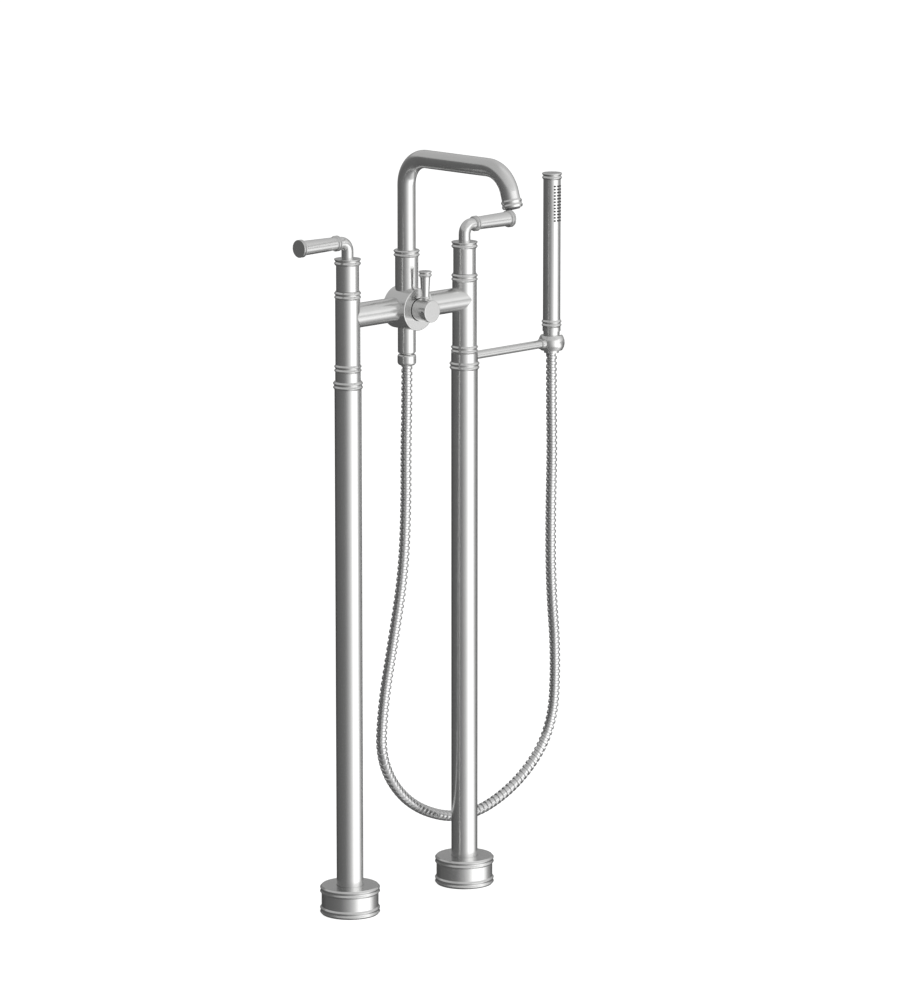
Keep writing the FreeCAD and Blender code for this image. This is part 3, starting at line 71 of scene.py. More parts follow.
# %% Camera
CAMERA_PLACE = Vector((-4.60811, -4.68671, 1.81651))
CAMERA_HEADING = math.radians(45.0808)
CAMERA_PITCH = math.radians(11.2171)
SENSOR_LONG_SIDE = 36.0
FOCAL_LENGTH_PX = 5363.87
PHOTO_LONG_SIDE_PX = 1000
SIGHT_LIMIT = 100.0

camera_data = bpy.data.cameras.new("photo_camera")
camera_data.sensor_width = SENSOR_LONG_SIDE
camera_data.lens = FOCAL_LENGTH_PX * SENSOR_LONG_SIDE / PHOTO_LONG_SIDE_PX
camera_data.clip_end = SIGHT_LIMIT
camera = bpy.data.objects.new("photo_camera", camera_data)
camera.location = CAMERA_PLACE
camera.rotation_euler = (math.pi / 2 - CAMERA_PITCH, 0, -CAMERA_HEADING)
bpy.context.scene.collection.objects.link(camera)
bpy.context.scene.camera = camera
bpy.context.scene.view_settings.view_transform = "Standard"
print("lens", round(camera_data.lens, 1), "mm")

# %% [markdown]
# ## Small helpers
# A node tree reads better when each node is made and wired in one line. `put` makes a node, sets its
# options and wires or sets its inputs, `math_node` does that for one step of arithmetic, and
# `new_group` makes a group of nodes with named inputs. `compass` gives a level direction as seen by the
# camera: 0 is from the object to the camera, and positive angles go round to the right of the picture.

# %% Helpers
FLOAT = "NodeSocketFloat"
COUNT = "NodeSocketInt"
COLOUR = "NodeSocketColor"
VECTOR = "NodeSocketVector"
MATERIAL = "NodeSocketMaterial"
GEOMETRY = "NodeSocketGeometry"


def put(tree, kind, inputs=(), **options):
    """A node of this kind, with its options set and its inputs wired or given a value."""
    node = tree.nodes.new(kind)
    for name, value in options.items():
        setattr(node, name, value)
    for name, value in dict(inputs).items():
        if isinstance(value, bpy.types.NodeSocket):
            tree.links.new(value, node.inputs[name])
        else:
            node.inputs[name].default_value = value
    return node


def math_node(tree, operation, *numbers):
    """The result of one step of arithmetic with one, two or three numbers or sockets."""
    return put(tree, "ShaderNodeMath", enumerate(numbers), operation=operation).outputs[0]


def new_group(kind, name, inputs, outputs):
    """A node group with inputs of (name, type, default value) and outputs of (name, type)."""
    group = bpy.data.node_groups.new(name, kind)
    for socket_name, socket_kind, value in inputs:
        socket = group.interface.new_socket(socket_name, in_out="INPUT", socket_type=socket_kind)
        if value is not None:
            socket.default_value = value
    for socket_name, socket_kind in outputs:
        group.interface.new_socket(socket_name, in_out="OUTPUT", socket_type=socket_kind)
    return group, group.nodes.new("NodeGroupInput"), group.nodes.new("NodeGroupOutput")


def compass(degrees):
    """The level direction this many degrees to the right of the line to the camera."""
    turn = CAMERA_HEADING + math.pi - math.radians(degrees)
    return Vector((math.sin(turn), math.cos(turn), 0))


def link_object(name, data):
    """A new object with this data, linked to the scene."""
    thing = bpy.data.objects.new(name, data)
    bpy.context.scene.collection.objects.link(thing)
    return thing


# %% [markdown]
# ## Studio
# Metal has no colour of its own to speak of: it shows the room. The photograph's upright tubes are dark
# on the left, rise slowly to a white band right of their middle and fall fast to grey, while their top
# faces are mid grey. That is a room with a dark left side, one large soft panel at the front right, a
# grey rear wall and a pale ceiling. The level tubes show a faint dark line along their middle, so the
# panel has a narrow gap at the horizon. Here the room is a drum of cards that only reflections see: a
# round wall that goes on below the floor, a ceiling, and a mat far down. Upright tubes reflect what lies
# a little below the horizon, so with the wall going on down there they look the same all the way to the
# floor. What the eye and rough surfaces see instead is a plain white surround and a pale floor that
# keeps a faint shadow.

# %% World
SURROUND_WHITE = 1.0
SURROUND_LIGHT = 0.55


def seen_directly(tree):
    """1 for what the camera, a mirror or glass sees, and 0 for light on a rough surface."""
    path = put(tree, "ShaderNodeLightPath")
    mirrored = math_node(tree, "MAXIMUM", path.outputs["Is Camera Ray"], path.outputs["Is Glossy Ray"])
    return math_node(tree, "MAXIMUM", mirrored, path.outputs["Is Transmission Ray"])


world = bpy.data.worlds.new("white_surround")
bpy.context.scene.world = world
world.use_nodes = True
tree = world.node_tree
tree.nodes.clear()
strength = put(tree, "ShaderNodeMapRange",
               {"Value": seen_directly(tree), "To Min": SURROUND_LIGHT, "To Max": SURROUND_WHITE})
light = put(tree, "ShaderNodeBackground", {"Color": (1, 1, 1, 1), "Strength": strength.outputs[0]})
put(tree, "ShaderNodeOutputWorld", {"Surface": light.outputs[0]})

# %% Floor
FLOOR_HALF = 40.0
FLOOR_GLOW = 0.88
FLOOR_COLOUR = (0.35, 0.35, 0.35, 1)

floor_material = bpy.data.materials.new("pale_floor")
floor_material.use_nodes = True
tree = floor_material.node_tree
tree.nodes.clear()
glow_strength = math_node(tree, "MULTIPLY", seen_directly(tree), FLOOR_GLOW)
glow = put(tree, "ShaderNodeEmission", {"Strength": glow_strength})
diffuse = put(tree, "ShaderNodeBsdfDiffuse", {"Color": FLOOR_COLOUR})
mixed = put(tree, "ShaderNodeAddShader", {0: glow.outputs[0], 1: diffuse.outputs[0]})
put(tree, "ShaderNodeOutputMaterial", {"Surface": mixed.outputs[0]})

half = FLOOR_HALF
floor_mesh = bpy.data.meshes.new("floor")
floor_mesh.from_pydata([(-half, -half, 0), (half, -half, 0), (half, half, 0), (-half, half, 0)], [],
                       [(0, 1, 2, 3)])
floor = link_object("floor", floor_mesh)
floor.data.materials.append(floor_material)
floor.visible_glossy = False

# %% Soft lamp
AIM = Vector((0.05, 0, 0.5))
LAMP_DEGREES = 45.0
LAMP_RISE = 1.6
LAMP_DISTANCE = 3.2
LAMP_SIZE = 2.6
LAMP_WATTS = 60.0

lamp_data = bpy.data.lights.new("soft_lamp", "AREA")
lamp_data.shape = "SQUARE"
lamp_data.size = LAMP_SIZE
lamp_data.energy = LAMP_WATTS
lamp = link_object("soft_lamp", lamp_data)
lamp.location = AIM + compass(LAMP_DEGREES) * LAMP_DISTANCE + Vector((0, 0, LAMP_RISE))
lamp.rotation_euler = (AIM - lamp.location).to_track_quat("-Z", "Y").to_euler()
lamp.visible_glossy = False

# %% Drum of cards
DRUM_RADIUS = 6.0
DRUM_SIDES = 96
MAT_DEGREES = 32.0
DEEP_DEGREES = 16.0
GAP_DEGREES = 5.0
WALL_TOP_DEGREES = 24.0
BRIGHTEST = 2.0
# Brightness by the compass, in degrees right of the camera: deep down on the wall, below the horizon,
# which the upright tubes show, in the gap at the horizon, above it, on the ceiling and on the mat.
DEEP_TONES = ((-180, 0.10), (-131, 0.08), (-113, 0.12), (-75, 0.14), (-36, 0.18), (-2, 0.45),
              (15, 0.72), (24, 1.00), (33, 1.35), (40, 1.55), (80, 1.60), (86, 1.45), (94, 1.25),
              (104, 0.80), (114, 0.40), (145, 0.14), (180, 0.10))
LOW_TONES = ((-180, 0.12), (-160, 0.06), (-131, 0.08), (-113, 0.12), (-75, 0.15), (-36, 0.20),
             (-19, 0.26), (-2, 0.49), (15, 0.78), (24, 1.05), (33, 1.45), (40, 1.70), (80, 1.70),
             (86, 1.15), (94, 0.68), (104, 0.44), (123, 0.30), (145, 0.12), (160, 0.08), (180, 0.12))
GAP_TONES = ((-180, 0.25), (-140, 0.20), (-113, 0.13), (-75, 0.15), (-36, 0.20), (-2, 0.49), (24, 1.05),
             (40, 1.50), (75, 1.30), (84, 0.70), (96, 0.40), (110, 0.40), (140, 0.32), (180, 0.25))
WALL_TONES = ((-180, 0.34), (-140, 0.25), (-113, 0.15), (-75, 0.15), (-36, 0.20), (-2, 0.49), (24, 1.05),
              (40, 1.50), (80, 1.40), (90, 1.00), (110, 0.75), (140, 0.45), (180, 0.34))
CEILING_TONES = ((-180, 0.58), (-120, 0.53), (-50, 0.53), (20, 0.70), (90, 0.85), (130, 0.68),
                 (180, 0.58))
MAT_TONES = ((-180, 0.11), (-113, 0.12), (-36, 0.17), (20, 0.40), (60, 0.72), (80, 0.88), (98, 0.80),
             (114, 0.35), (142, 0.19), (180, 0.11))


def compass_material(name, tones):
    """An emission whose brightness follows the compass angle of the place on the card."""
    material = bpy.data.materials.new(name)
    material.use_nodes = True
    material.cycles.emission_sampling = "NONE"
    tree = material.node_tree
    tree.nodes.clear()
    where = put(tree, "ShaderNodeTexCoord")
    place = put(tree, "ShaderNodeSeparateXYZ", {0: where.outputs["Object"]})
    right = math_node(tree, "MULTIPLY", place.outputs["X"], -1.0)
    angle = math_node(tree, "ARCTAN2", right, place.outputs["Y"])
    share = put(tree, "ShaderNodeMapRange", {"Value": angle, "From Min": -math.pi, "From Max": math.pi})
    ramp = put(tree, "ShaderNodeValToRGB", {"Fac": share.outputs["Result"]})
    stops = ramp.color_ramp.elements
    stops_at_first = len(stops)
    for number, (degrees, tone) in enumerate(tones):
        position = (degrees + 180) / 360
        stop = stops[number] if number < stops_at_first else stops.new(position)
        stop.position = position
        stop.color = (tone / BRIGHTEST,) * 3 + (1,)
    glow = put(tree, "ShaderNodeEmission", {"Color": ramp.outputs["Color"], "Strength": BRIGHTEST})
    put(tree, "ShaderNodeOutputMaterial", {"Surface": glow.outputs[0]})
    return material


def stand_card(name, corners, faces, tones):
    """A card from corners in the world, whose compass is read from the drum's axis."""
    place = Matrix.Translation((AIM.x, AIM.y, 0)) @ Matrix.Rotation(math.pi - CAMERA_HEADING, 4, "Z")
    inverse = place.inverted()
    mesh = bpy.data.meshes.new(name)
    mesh.from_pydata([inverse @ Vector(corner) for corner in corners], [], faces)
    card = link_object(name, mesh)
    card.matrix_world = place
    card.data.materials.append(compass_material(name, tones))
    card.visible_camera = False
    card.visible_diffuse = False
    card.visible_shadow = False
    card.visible_transmission = False


def round_card(name, rings, tones):
    """A round card through rings of (radius, height)."""
    corners, faces = [], []
    for radius, height in rings:
        corners += [(AIM.x + radius * math.cos(turn), AIM.y + radius * math.sin(turn), height)
                    for turn in (math.tau * side / DRUM_SIDES for side in range(DRUM_SIDES))]
    for side in range(DRUM_SIDES):
        after = (side + 1) % DRUM_SIDES
        faces.append((side, after, after + DRUM_SIDES, side + DRUM_SIDES))
    stand_card(name, corners, faces, tones)


wall_top = AIM.z + DRUM_RADIUS * math.tan(math.radians(WALL_TOP_DEGREES))
gap_top = AIM.z + DRUM_RADIUS * math.tan(math.radians(GAP_DEGREES))
gap_bottom = AIM.z - DRUM_RADIUS * math.tan(math.radians(GAP_DEGREES))
deep_height = AIM.z - DRUM_RADIUS * math.tan(math.radians(DEEP_DEGREES))
mat_height = AIM.z - DRUM_RADIUS * math.tan(math.radians(MAT_DEGREES))
round_card("deep_wall_card", [(DRUM_RADIUS, mat_height), (DRUM_RADIUS, deep_height)], DEEP_TONES)
round_card("low_wall_card", [(DRUM_RADIUS, deep_height), (DRUM_RADIUS, gap_bottom)], LOW_TONES)
round_card("gap_card", [(DRUM_RADIUS, gap_bottom), (DRUM_RADIUS, gap_top)], GAP_TONES)
round_card("wall_card", [(DRUM_RADIUS, gap_top), (DRUM_RADIUS, wall_top)], WALL_TONES)
round_card("ceiling_card", [(DRUM_RADIUS, wall_top), (TINY, wall_top + DRUM_RADIUS / 2)], CEILING_TONES)
round_card("mat_card", [(TINY, mat_height), (DRUM_RADIUS, mat_height)], MAT_TONES)
print("drum:", DRUM_RADIUS, "m, wall from", round(mat_height, 2), "to", round(wall_top, 2), "m")

# %% [markdown]
# ## Satin nickel
# The finish is nickel over brass, blasted or brushed so finely that the eye sees only a soft blur and
# a very fine grain. So the metal is a plain grey mirror with some roughness; a fine noise varies that
# roughness and lifts the surface by a few microns, and a coarser, weak cloud keeps the long tubes from
# looking like plastic. The grain is a node group, because the hose and the screws use it too.

# %% Grain group
grain_group, given, result = new_group(
    "ShaderNodeTree", "fine grain",
    [("Colour", COLOUR, (0.7, 0.7, 0.7, 1)), ("Colour Change", FLOAT, 0.06), ("Roughness", FLOAT, 0.24),
     ("Roughness Change", FLOAT, 0.05), ("Grain Size", FLOAT, 0.0006), ("Cloud Size", FLOAT, 0.04),
     ("Grain Height", FLOAT, 0.000004)],
    [("Colour", COLOUR), ("Roughness", FLOAT), ("Normal", VECTOR)])
GRAIN_DETAIL = 2.0
CLOUD_DETAIL = 3.0
where = put(grain_group, "ShaderNodeTexCoord")
grain_scale = math_node(grain_group, "DIVIDE", 1.0, given.outputs["Grain Size"])
cloud_scale = math_node(grain_group, "DIVIDE", 1.0, given.outputs["Cloud Size"])
grain = put(grain_group, "ShaderNodeTexNoise",
            {"Vector": where.outputs["Object"], "Scale": grain_scale, "Detail": GRAIN_DETAIL})
cloud = put(grain_group, "ShaderNodeTexNoise",
            {"Vector": where.outputs["Object"], "Scale": cloud_scale, "Detail": CLOUD_DETAIL})
# Each noise has a mean of one half, so the two together less one vary round nought.
both = math_node(grain_group, "ADD", grain.outputs["Fac"], cloud.outputs["Fac"])
centred = math_node(grain_group, "SUBTRACT", both, 1.0)
shade = math_node(grain_group, "MULTIPLY_ADD", centred, given.outputs["Colour Change"], 1.0)
tinted = put(grain_group, "ShaderNodeVectorMath", {0: given.outputs["Colour"], "Scale": shade},
             operation="SCALE")
rough = math_node(grain_group, "MULTIPLY_ADD", centred, given.outputs["Roughness Change"],
                  given.outputs["Roughness"])
lift = put(grain_group, "ShaderNodeBump",
           {"Height": grain.outputs["Fac"], "Strength": 1.0, "Distance": given.outputs["Grain Height"]})
grain_group.links.new(tinted.outputs[0], result.inputs["Colour"])
grain_group.links.new(rough, result.inputs["Roughness"])
grain_group.links.new(lift.outputs[0], result.inputs["Normal"])

# %% Metals


def grained_material(name, colour, roughness, metallic, **sizes):
    """A Principled material whose colour, roughness and surface come from the grain group.

    Each further value, such as grain_size, is an input of the group.
    """
    material = bpy.data.materials.new(name)
    material.use_nodes = True
    tree = material.node_tree
    tree.nodes.clear()
    group = put(tree, "ShaderNodeGroup", node_tree=grain_group)
    group.inputs["Colour"].default_value = (*colour, 1)
    group.inputs["Roughness"].default_value = roughness
    for socket_name, value in sizes.items():
        group.inputs[socket_name.replace("_", " ").title()].default_value = value
    surface = put(tree, "ShaderNodeBsdfPrincipled",
                  {"Base Color": group.outputs["Colour"], "Roughness": group.outputs["Roughness"],
                   "Normal": group.outputs["Normal"], "Metallic": metallic})
    put(tree, "ShaderNodeOutputMaterial", {"Surface": surface.outputs[0]})
    return material


satin_nickel = grained_material("satin_nickel", (0.74, 0.74, 0.735), roughness=0.22, metallic=1.0)
hose_metal = grained_material("hose_metal", (0.72, 0.72, 0.72), roughness=0.18, metallic=1.0,
                              grain_size=0.0004)
screw_steel = grained_material("screw_steel", (0.42, 0.42, 0.43), roughness=0.32, metallic=1.0)
brass = grained_material("machined_brass", (0.78, 0.56, 0.26), roughness=0.30, metallic=1.0)
print("metals:", satin_nickel.name, hose_metal.name, screw_steel.name, brass.name)

# %% [markdown]
# ## Rubber and plastic
# What isn't metal is small: the grey silicone nozzles of the hand shower, the plastic screen in the
# spout, and the seals and cartridges that only show when the part is taken apart.

# %% Rubber and plastic
grey_rubber = grained_material("grey_silicone", (0.022, 0.022, 0.024), roughness=0.55, metallic=0.0,
                               grain_height=0.00001)
aerator_plastic = grained_material("grey_plastic", (0.16, 0.16, 0.165), roughness=0.45, metallic=0.0,
                                   grain_height=0.000006)
cartridge_plastic = grained_material("white_plastic", (0.75, 0.75, 0.72), roughness=0.35, metallic=0.0)
print("rubber and plastic:", grey_rubber.name, aerator_plastic.name, cartridge_plastic.name)

FINISHES = {
    "satin_nickel": satin_nickel,
    "hose_metal": hose_metal,
    "screw_steel": screw_steel,
    "brass": brass,
    "grey_rubber": grey_rubber,
    "aerator_plastic": aerator_plastic,
    "cartridge_plastic": cartridge_plastic,
}

# %% Give every CAD node its finish
for part in frame["record"]["subparts"]:
    node = frame["nodes"][part["node"]]
    node.data.materials.clear()
    node.data.materials.append(FINISHES[part["material_slot"]])

# %% [markdown]
# ## The hose's route
# The hose hangs from the outlet nut, swings behind the right leg and climbs to the hand shower. Its
# whole length shows in the photograph. A NURBS spline of order 3 with these points as its control
# points is the smooth line that the hose follows.

# %% Route of the hose
HOSE_ROUTE = (
    (0, 0, 684), (0, 0, 636), (1, 3, 578), (7, 9, 504), (9, 16, 417), (-2, 23, 331),
    (-14, 30, 248), (-14, 35, 168), (45, 39, 100), (146, 42, 66), (241, 42, 95), (303, 39, 158),
    (304, 33, 256), (284, 24, 360), (273, 14, 458), (266, 5, 542), (259, 0, 606), (259, 0, 669),
)
HOSE_DIAMETER = 0.0138
HOSE_GROOVE_DIAMETER = 0.0109
RIB_PITCH = 0.0075
ROUTE_ORDER = 3
ROUTE_RESOLUTION = 24


def route_curve(name, points_mm):
    """A NURBS curve with the points as its control points, from end to end."""
    curve = bpy.data.curves.new(name, "CURVE")
    curve.dimensions = "3D"
    spline = curve.splines.new("NURBS")
    spline.points.add(len(points_mm) - 1)
    for control, point in zip(spline.points, points_mm):
        control.co = (*(Vector(point) * MM), 1)
    spline.order_u = ROUTE_ORDER
    spline.use_endpoint_u = True
    spline.resolution_u = ROUTE_RESOLUTION
    return link_object(name, curve)


def route_points(curve_object):
    """The points along a curve that has no thickness, in order."""
    line = bpy.data.meshes.new_from_object(curve_object)
    points = [vertex.co.copy() for vertex in line.vertices]
    bpy.data.meshes.remove(line)
    return points


hose_curve = route_curve("hose_route", HOSE_ROUTE)
hose_path = route_points(hose_curve)
print("hose path:", len(hose_path), "points,",
      round(sum((b - a).length for a, b in zip(hose_path, hose_path[1:])), 4), "m")

# %% [markdown]
# ## The ribbed hose
# The real hose is a metal strip wound into a helix whose turns lock into each other, so its ribs climb
# round it like a shallow thread with steep walls. Geometry Nodes sweep a circle along the route, and
# then push in the points of the groove, which are told by where they lie along the hose and round it.

# %% Geometry Nodes for the hose


def geometry_tree(name, inputs):
    """A Geometry Nodes tree that takes in and gives out geometry, with further named inputs."""
    return new_group("GeometryNodeTree", name, [("Geometry", GEOMETRY, None)] + inputs,
                     [("Geometry", GEOMETRY)])


def off_middle(tree, share):
    """How far a share from 0 to 1 is from one half."""
    return math_node(tree, "ABSOLUTE", math_node(tree, "SUBTRACT", share, 0.5))


def finish_tree(tree, result, geometry, material):
    """Realizes the geometry, gives it its material and hands it out."""
    real = put(tree, "GeometryNodeRealizeInstances", {"Geometry": geometry})
    painted = put(tree, "GeometryNodeSetMaterial", {"Geometry": real.outputs[0], "Material": material})
    tree.links.new(painted.outputs[0], result.inputs["Geometry"])


def made_real(source, tree, name, **values):
    """Runs a tree on an object and returns the result as a new object with a plain mesh."""
    modifier = source.modifiers.new(tree.name, "NODES")
    modifier.node_group = tree
    for item in tree.interface.items_tree:
        if item.item_type == "SOCKET" and item.in_out == "INPUT" and item.name in values:
            modifier[item.identifier] = values[item.name]
    graph = bpy.context.evaluated_depsgraph_get()
    mesh = bpy.data.meshes.new_from_object(source.evaluated_get(graph))
    source.modifiers.remove(modifier)
    mesh.name = name
    return link_object(name, mesh)


ribs, given, result = geometry_tree(
    "ribbed hose",
    [("Rib Pitch", FLOAT, RIB_PITCH), ("Crest Diameter", FLOAT, HOSE_DIAMETER),
     ("Groove Diameter", FLOAT, HOSE_GROOVE_DIAMETER), ("Groove Share", FLOAT, 0.26),
     ("Slope Share", FLOAT, 0.02), ("Rows In A Rib", COUNT, 20), ("Sides", COUNT, 24),
     ("Metal", MATERIAL, None)])

# The tube: its points know how far along the hose they lie, and how far round it.
step = math_node(ribs, "DIVIDE", given.outputs["Rib Pitch"], given.outputs["Rows In A Rib"])
even = put(ribs, "GeometryNodeResampleCurve", {"Curve": given.outputs["Geometry"], "Length": step},
           mode="LENGTH")
along = put(ribs, "GeometryNodeSplineParameter")
keep_along = put(ribs, "GeometryNodeCaptureAttribute", {"Geometry": even.outputs[0]})
keep_along.capture_items.new("FLOAT", "Distance")
ribs.links.new(along.outputs["Length"], keep_along.inputs["Distance"])
round_wire = put(ribs, "GeometryNodeCurvePrimitiveCircle", {"Resolution": given.outputs["Sides"]})
crest_radius = math_node(ribs, "DIVIDE", given.outputs["Crest Diameter"], 2.0)
ribs.links.new(crest_radius, round_wire.inputs["Radius"])
around = put(ribs, "GeometryNodeSplineParameter")
keep_around = put(ribs, "GeometryNodeCaptureAttribute", {"Geometry": round_wire.outputs[0]})
keep_around.capture_items.new("FLOAT", "Turn")
ribs.links.new(around.outputs["Factor"], keep_around.inputs["Turn"])
tube = put(ribs, "GeometryNodeCurveToMesh",
           {"Curve": keep_along.outputs["Geometry"], "Profile Curve": keep_around.outputs["Geometry"],
            "Fill Caps": True})

# The helix: a rib's middle is at a share of one half, and the groove lies round 0 and 1.
turns = math_node(ribs, "DIVIDE", keep_along.outputs["Distance"], given.outputs["Rib Pitch"])
helix = math_node(ribs, "ADD", turns, keep_around.outputs["Turn"])
off_crest = off_middle(ribs, math_node(ribs, "FRACT", helix))
edge = math_node(ribs, "SUBTRACT", 0.5, given.outputs["Groove Share"])
slope_end = math_node(ribs, "ADD", edge, given.outputs["Slope Share"])
groove = put(ribs, "ShaderNodeMapRange", {"Value": off_crest, "From Min": edge, "From Max": slope_end})
depth = math_node(ribs, "SUBTRACT", given.outputs["Groove Diameter"], given.outputs["Crest Diameter"])
inward = math_node(ribs, "MULTIPLY", math_node(ribs, "DIVIDE", depth, 2.0), groove.outputs["Result"])
outside = put(ribs, "GeometryNodeInputNormal")
push = put(ribs, "ShaderNodeVectorMath", {0: outside.outputs[0], "Scale": inward}, operation="SCALE")
shaped = put(ribs, "GeometryNodeSetPosition", {"Geometry": tube.outputs[0], "Offset": push.outputs[0]})
smooth = put(ribs, "GeometryNodeSetShadeSmooth", {"Geometry": shaped.outputs[0], "Shade Smooth": True})

# A rib's walls meet its crest and its groove in crisp edges. A face is a wall where its corners differ,
# so that their mean is neither 0 nor 1, and an edge is crisp where a wall meets a face that isn't one,
# so that the mean of the two is one half.
NOT_ALL_ALIKE = 0.49
ABOUT_HALF = 0.25
corners = put(ribs, "GeometryNodeFieldOnDomain", {0: groove.outputs["Result"]}, domain="POINT")
uneven = math_node(ribs, "LESS_THAN", off_middle(ribs, corners.outputs[0]), NOT_ALL_ALIKE)
wall = put(ribs, "GeometryNodeFieldOnDomain", {0: uneven}, domain="FACE")
wall_edge = math_node(ribs, "LESS_THAN", off_middle(ribs, wall.outputs[0]), ABOUT_HALF)
crisp = put(ribs, "GeometryNodeSetShadeSmooth",
            {"Geometry": smooth.outputs[0], "Selection": wall_edge, "Shade Smooth": False},
            domain="EDGE")
finish_tree(ribs, result, crisp.outputs[0], given.outputs["Metal"])

# %% Make the hose
hose = made_real(hose_curve, ribs, "shower_hose", **{
    "Rib Pitch": RIB_PITCH, "Crest Diameter": HOSE_DIAMETER, "Groove Diameter": HOSE_GROOVE_DIAMETER,
    "Metal": hose_metal})
bpy.data.objects.remove(hose_curve)
print("hose:", len(hose.data.vertices), "vertices,", len(hose.data.polygons), "faces")
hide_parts("hose")
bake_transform(hose)

# %% [markdown]
# ## The spray nozzles
# The hand shower's spray face is a soft silicone mat behind the tube's wall, with a nozzle through every
# hole, so that lime can be rubbed off. They stand out by a millimetre in three columns. The packed
# model has plain pins there. These nozzles are ovals, a little wider than high, with a narrowed tip and
# a small outlet. Geometry Nodes lay out a flat grid whose width is an angle, bend it round the tube's
# axis, and set one nozzle on each of its points.

# %% Sizes of the nozzles
SHOWER_PLACE = (0.259, 0.0, 0.0)
NOZZLE_COLUMNS = 3
NOZZLE_ROWS = 12
COLUMN_TURN = math.radians(24.5)
MIDDLE_TURN = math.radians(-2.5)
ROW_PITCH = 4.01 * MM
MAT_OUTSIDE = 9.55 * MM
TUBE_OUTSIDE = 11.1 * MM
NOZZLE_SIDES = 18
NOZZLE_RINGS = 12
TIP_RINGS = 4
ROUNDING_PER_STAND = 1.1
OUTLET_SHARE = 0.4
TIP_FROM = 0.99
MAT_SIDES = 17
SAME_PLACE = 0.01 * MM
mat_low, mat_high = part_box("nozzle_mat")
NOZZLE_MIDDLE_HEIGHT = (mat_low[2] + mat_high[2]) / 2
MAT_HEIGHT = mat_high[2] - mat_low[2]
print("mat:", round(MAT_HEIGHT / MM, 2), "mm high, middle at",
      round(NOZZLE_MIDDLE_HEIGHT / MM, 2), "mm")

# %% Geometry Nodes for the nozzles


def position_parts(tree):
    """The x, y and z of the point that is being worked on."""
    position = put(tree, "GeometryNodeInputPosition")
    parts = put(tree, "ShaderNodeSeparateXYZ", {0: position.outputs[0]})
    return parts.outputs["X"], parts.outputs["Y"], parts.outputs["Z"]


def bent_round(tree, sheet, radius, middle_turn):
    """Bends a flat sheet whose x is an angle and whose y is a height round the upright axis."""
    angle, height, _ = position_parts(tree)
    turn = math_node(tree, "ADD", angle, middle_turn)
    aside = math_node(tree, "MULTIPLY", math_node(tree, "SINE", turn), radius)
    to_front = math_node(tree, "MULTIPLY", radius, -1.0)
    front = math_node(tree, "MULTIPLY", math_node(tree, "COSINE", turn), to_front)
    place = put(tree, "ShaderNodeCombineXYZ", {"X": aside, "Y": front, "Z": height})
    bent = put(tree, "GeometryNodeSetPosition", {"Geometry": sheet, "Position": place.outputs[0]})
    return bent.outputs[0]


spray, given, result = geometry_tree(
    "spray nozzles",
    [("Columns", COUNT, NOZZLE_COLUMNS), ("Rows", COUNT, NOZZLE_ROWS),
     ("Column Turn", FLOAT, COLUMN_TURN), ("Middle Turn", FLOAT, MIDDLE_TURN),
     ("Row Pitch", FLOAT, ROW_PITCH), ("Tube Outside", FLOAT, TUBE_OUTSIDE), ("Stand", FLOAT, 0.001),
     ("Nozzle Diameter", FLOAT, 0.0021), ("Stretch", FLOAT, 0.0004), ("Tip Share", FLOAT, 0.70),
     ("Outlet Depth", FLOAT, 0.0005),
     ("Mat Outside", FLOAT, MAT_OUTSIDE), ("Mat Thickness", FLOAT, 0.001),
     ("Mat Height", FLOAT, MAT_HEIGHT), ("Mat Turn", FLOAT, 1.3), ("Silicone", MATERIAL, None)])

# One nozzle: a cylinder from the middle of the mat's thickness to the tip.
half_mat = math_node(spray, "DIVIDE", given.outputs["Mat Thickness"], 2.0)
root_radius = math_node(spray, "SUBTRACT", given.outputs["Mat Outside"], half_mat)
tip_radius = math_node(spray, "ADD", given.outputs["Tube Outside"], given.outputs["Stand"])
nozzle_length = math_node(spray, "SUBTRACT", tip_radius, root_radius)
nozzle_radius = math_node(spray, "DIVIDE", given.outputs["Nozzle Diameter"], 2.0)
pin = put(spray, "GeometryNodeMeshCylinder",
          {"Vertices": NOZZLE_SIDES, "Side Segments": NOZZLE_RINGS, "Fill Segments": TIP_RINGS,
           "Radius": nozzle_radius, "Depth": nozzle_length})

# It is narrowed towards the tip, with the outlet sunk into it, and stretched sideways into an oval.
x, y, z = position_parts(spray)
half_length = math_node(spray, "DIVIDE", nozzle_length, 2.0)
rounding = math_node(spray, "MULTIPLY", given.outputs["Stand"], ROUNDING_PER_STAND)
round_start = math_node(spray, "SUBTRACT", half_length, rounding)
near_tip = put(spray, "ShaderNodeMapRange",
               {"Value": z, "From Min": round_start, "From Max": half_length}).outputs[0]
narrowing = math_node(spray, "MULTIPLY", math_node(spray, "POWER", near_tip, 2.0),
                      math_node(spray, "SUBTRACT", given.outputs["Tip Share"], 1.0))
narrow = math_node(spray, "ADD", narrowing, 1.0)
y_squared = math_node(spray, "MULTIPLY", y, y)
off_axis = math_node(spray, "SQRT", math_node(spray, "MULTIPLY_ADD", x, x, y_squared))
outlet_radius = math_node(spray, "MULTIPLY", nozzle_radius, OUTLET_SHARE)
in_outlet = math_node(spray, "LESS_THAN", off_axis, outlet_radius)
at_tip = math_node(spray, "GREATER_THAN", near_tip, TIP_FROM)
sunk = math_node(spray, "MULTIPLY", in_outlet, at_tip)
sink = math_node(spray, "MULTIPLY", sunk, given.outputs["Outlet Depth"])
stretch = math_node(spray, "MULTIPLY", math_node(spray, "SIGN", x), given.outputs["Stretch"])
nozzle_place = put(spray, "ShaderNodeCombineXYZ",
                   {"X": math_node(spray, "MULTIPLY_ADD", x, narrow, stretch),
                    "Y": math_node(spray, "MULTIPLY", y, narrow),
                    "Z": math_node(spray, "SUBTRACT", z, sink)})
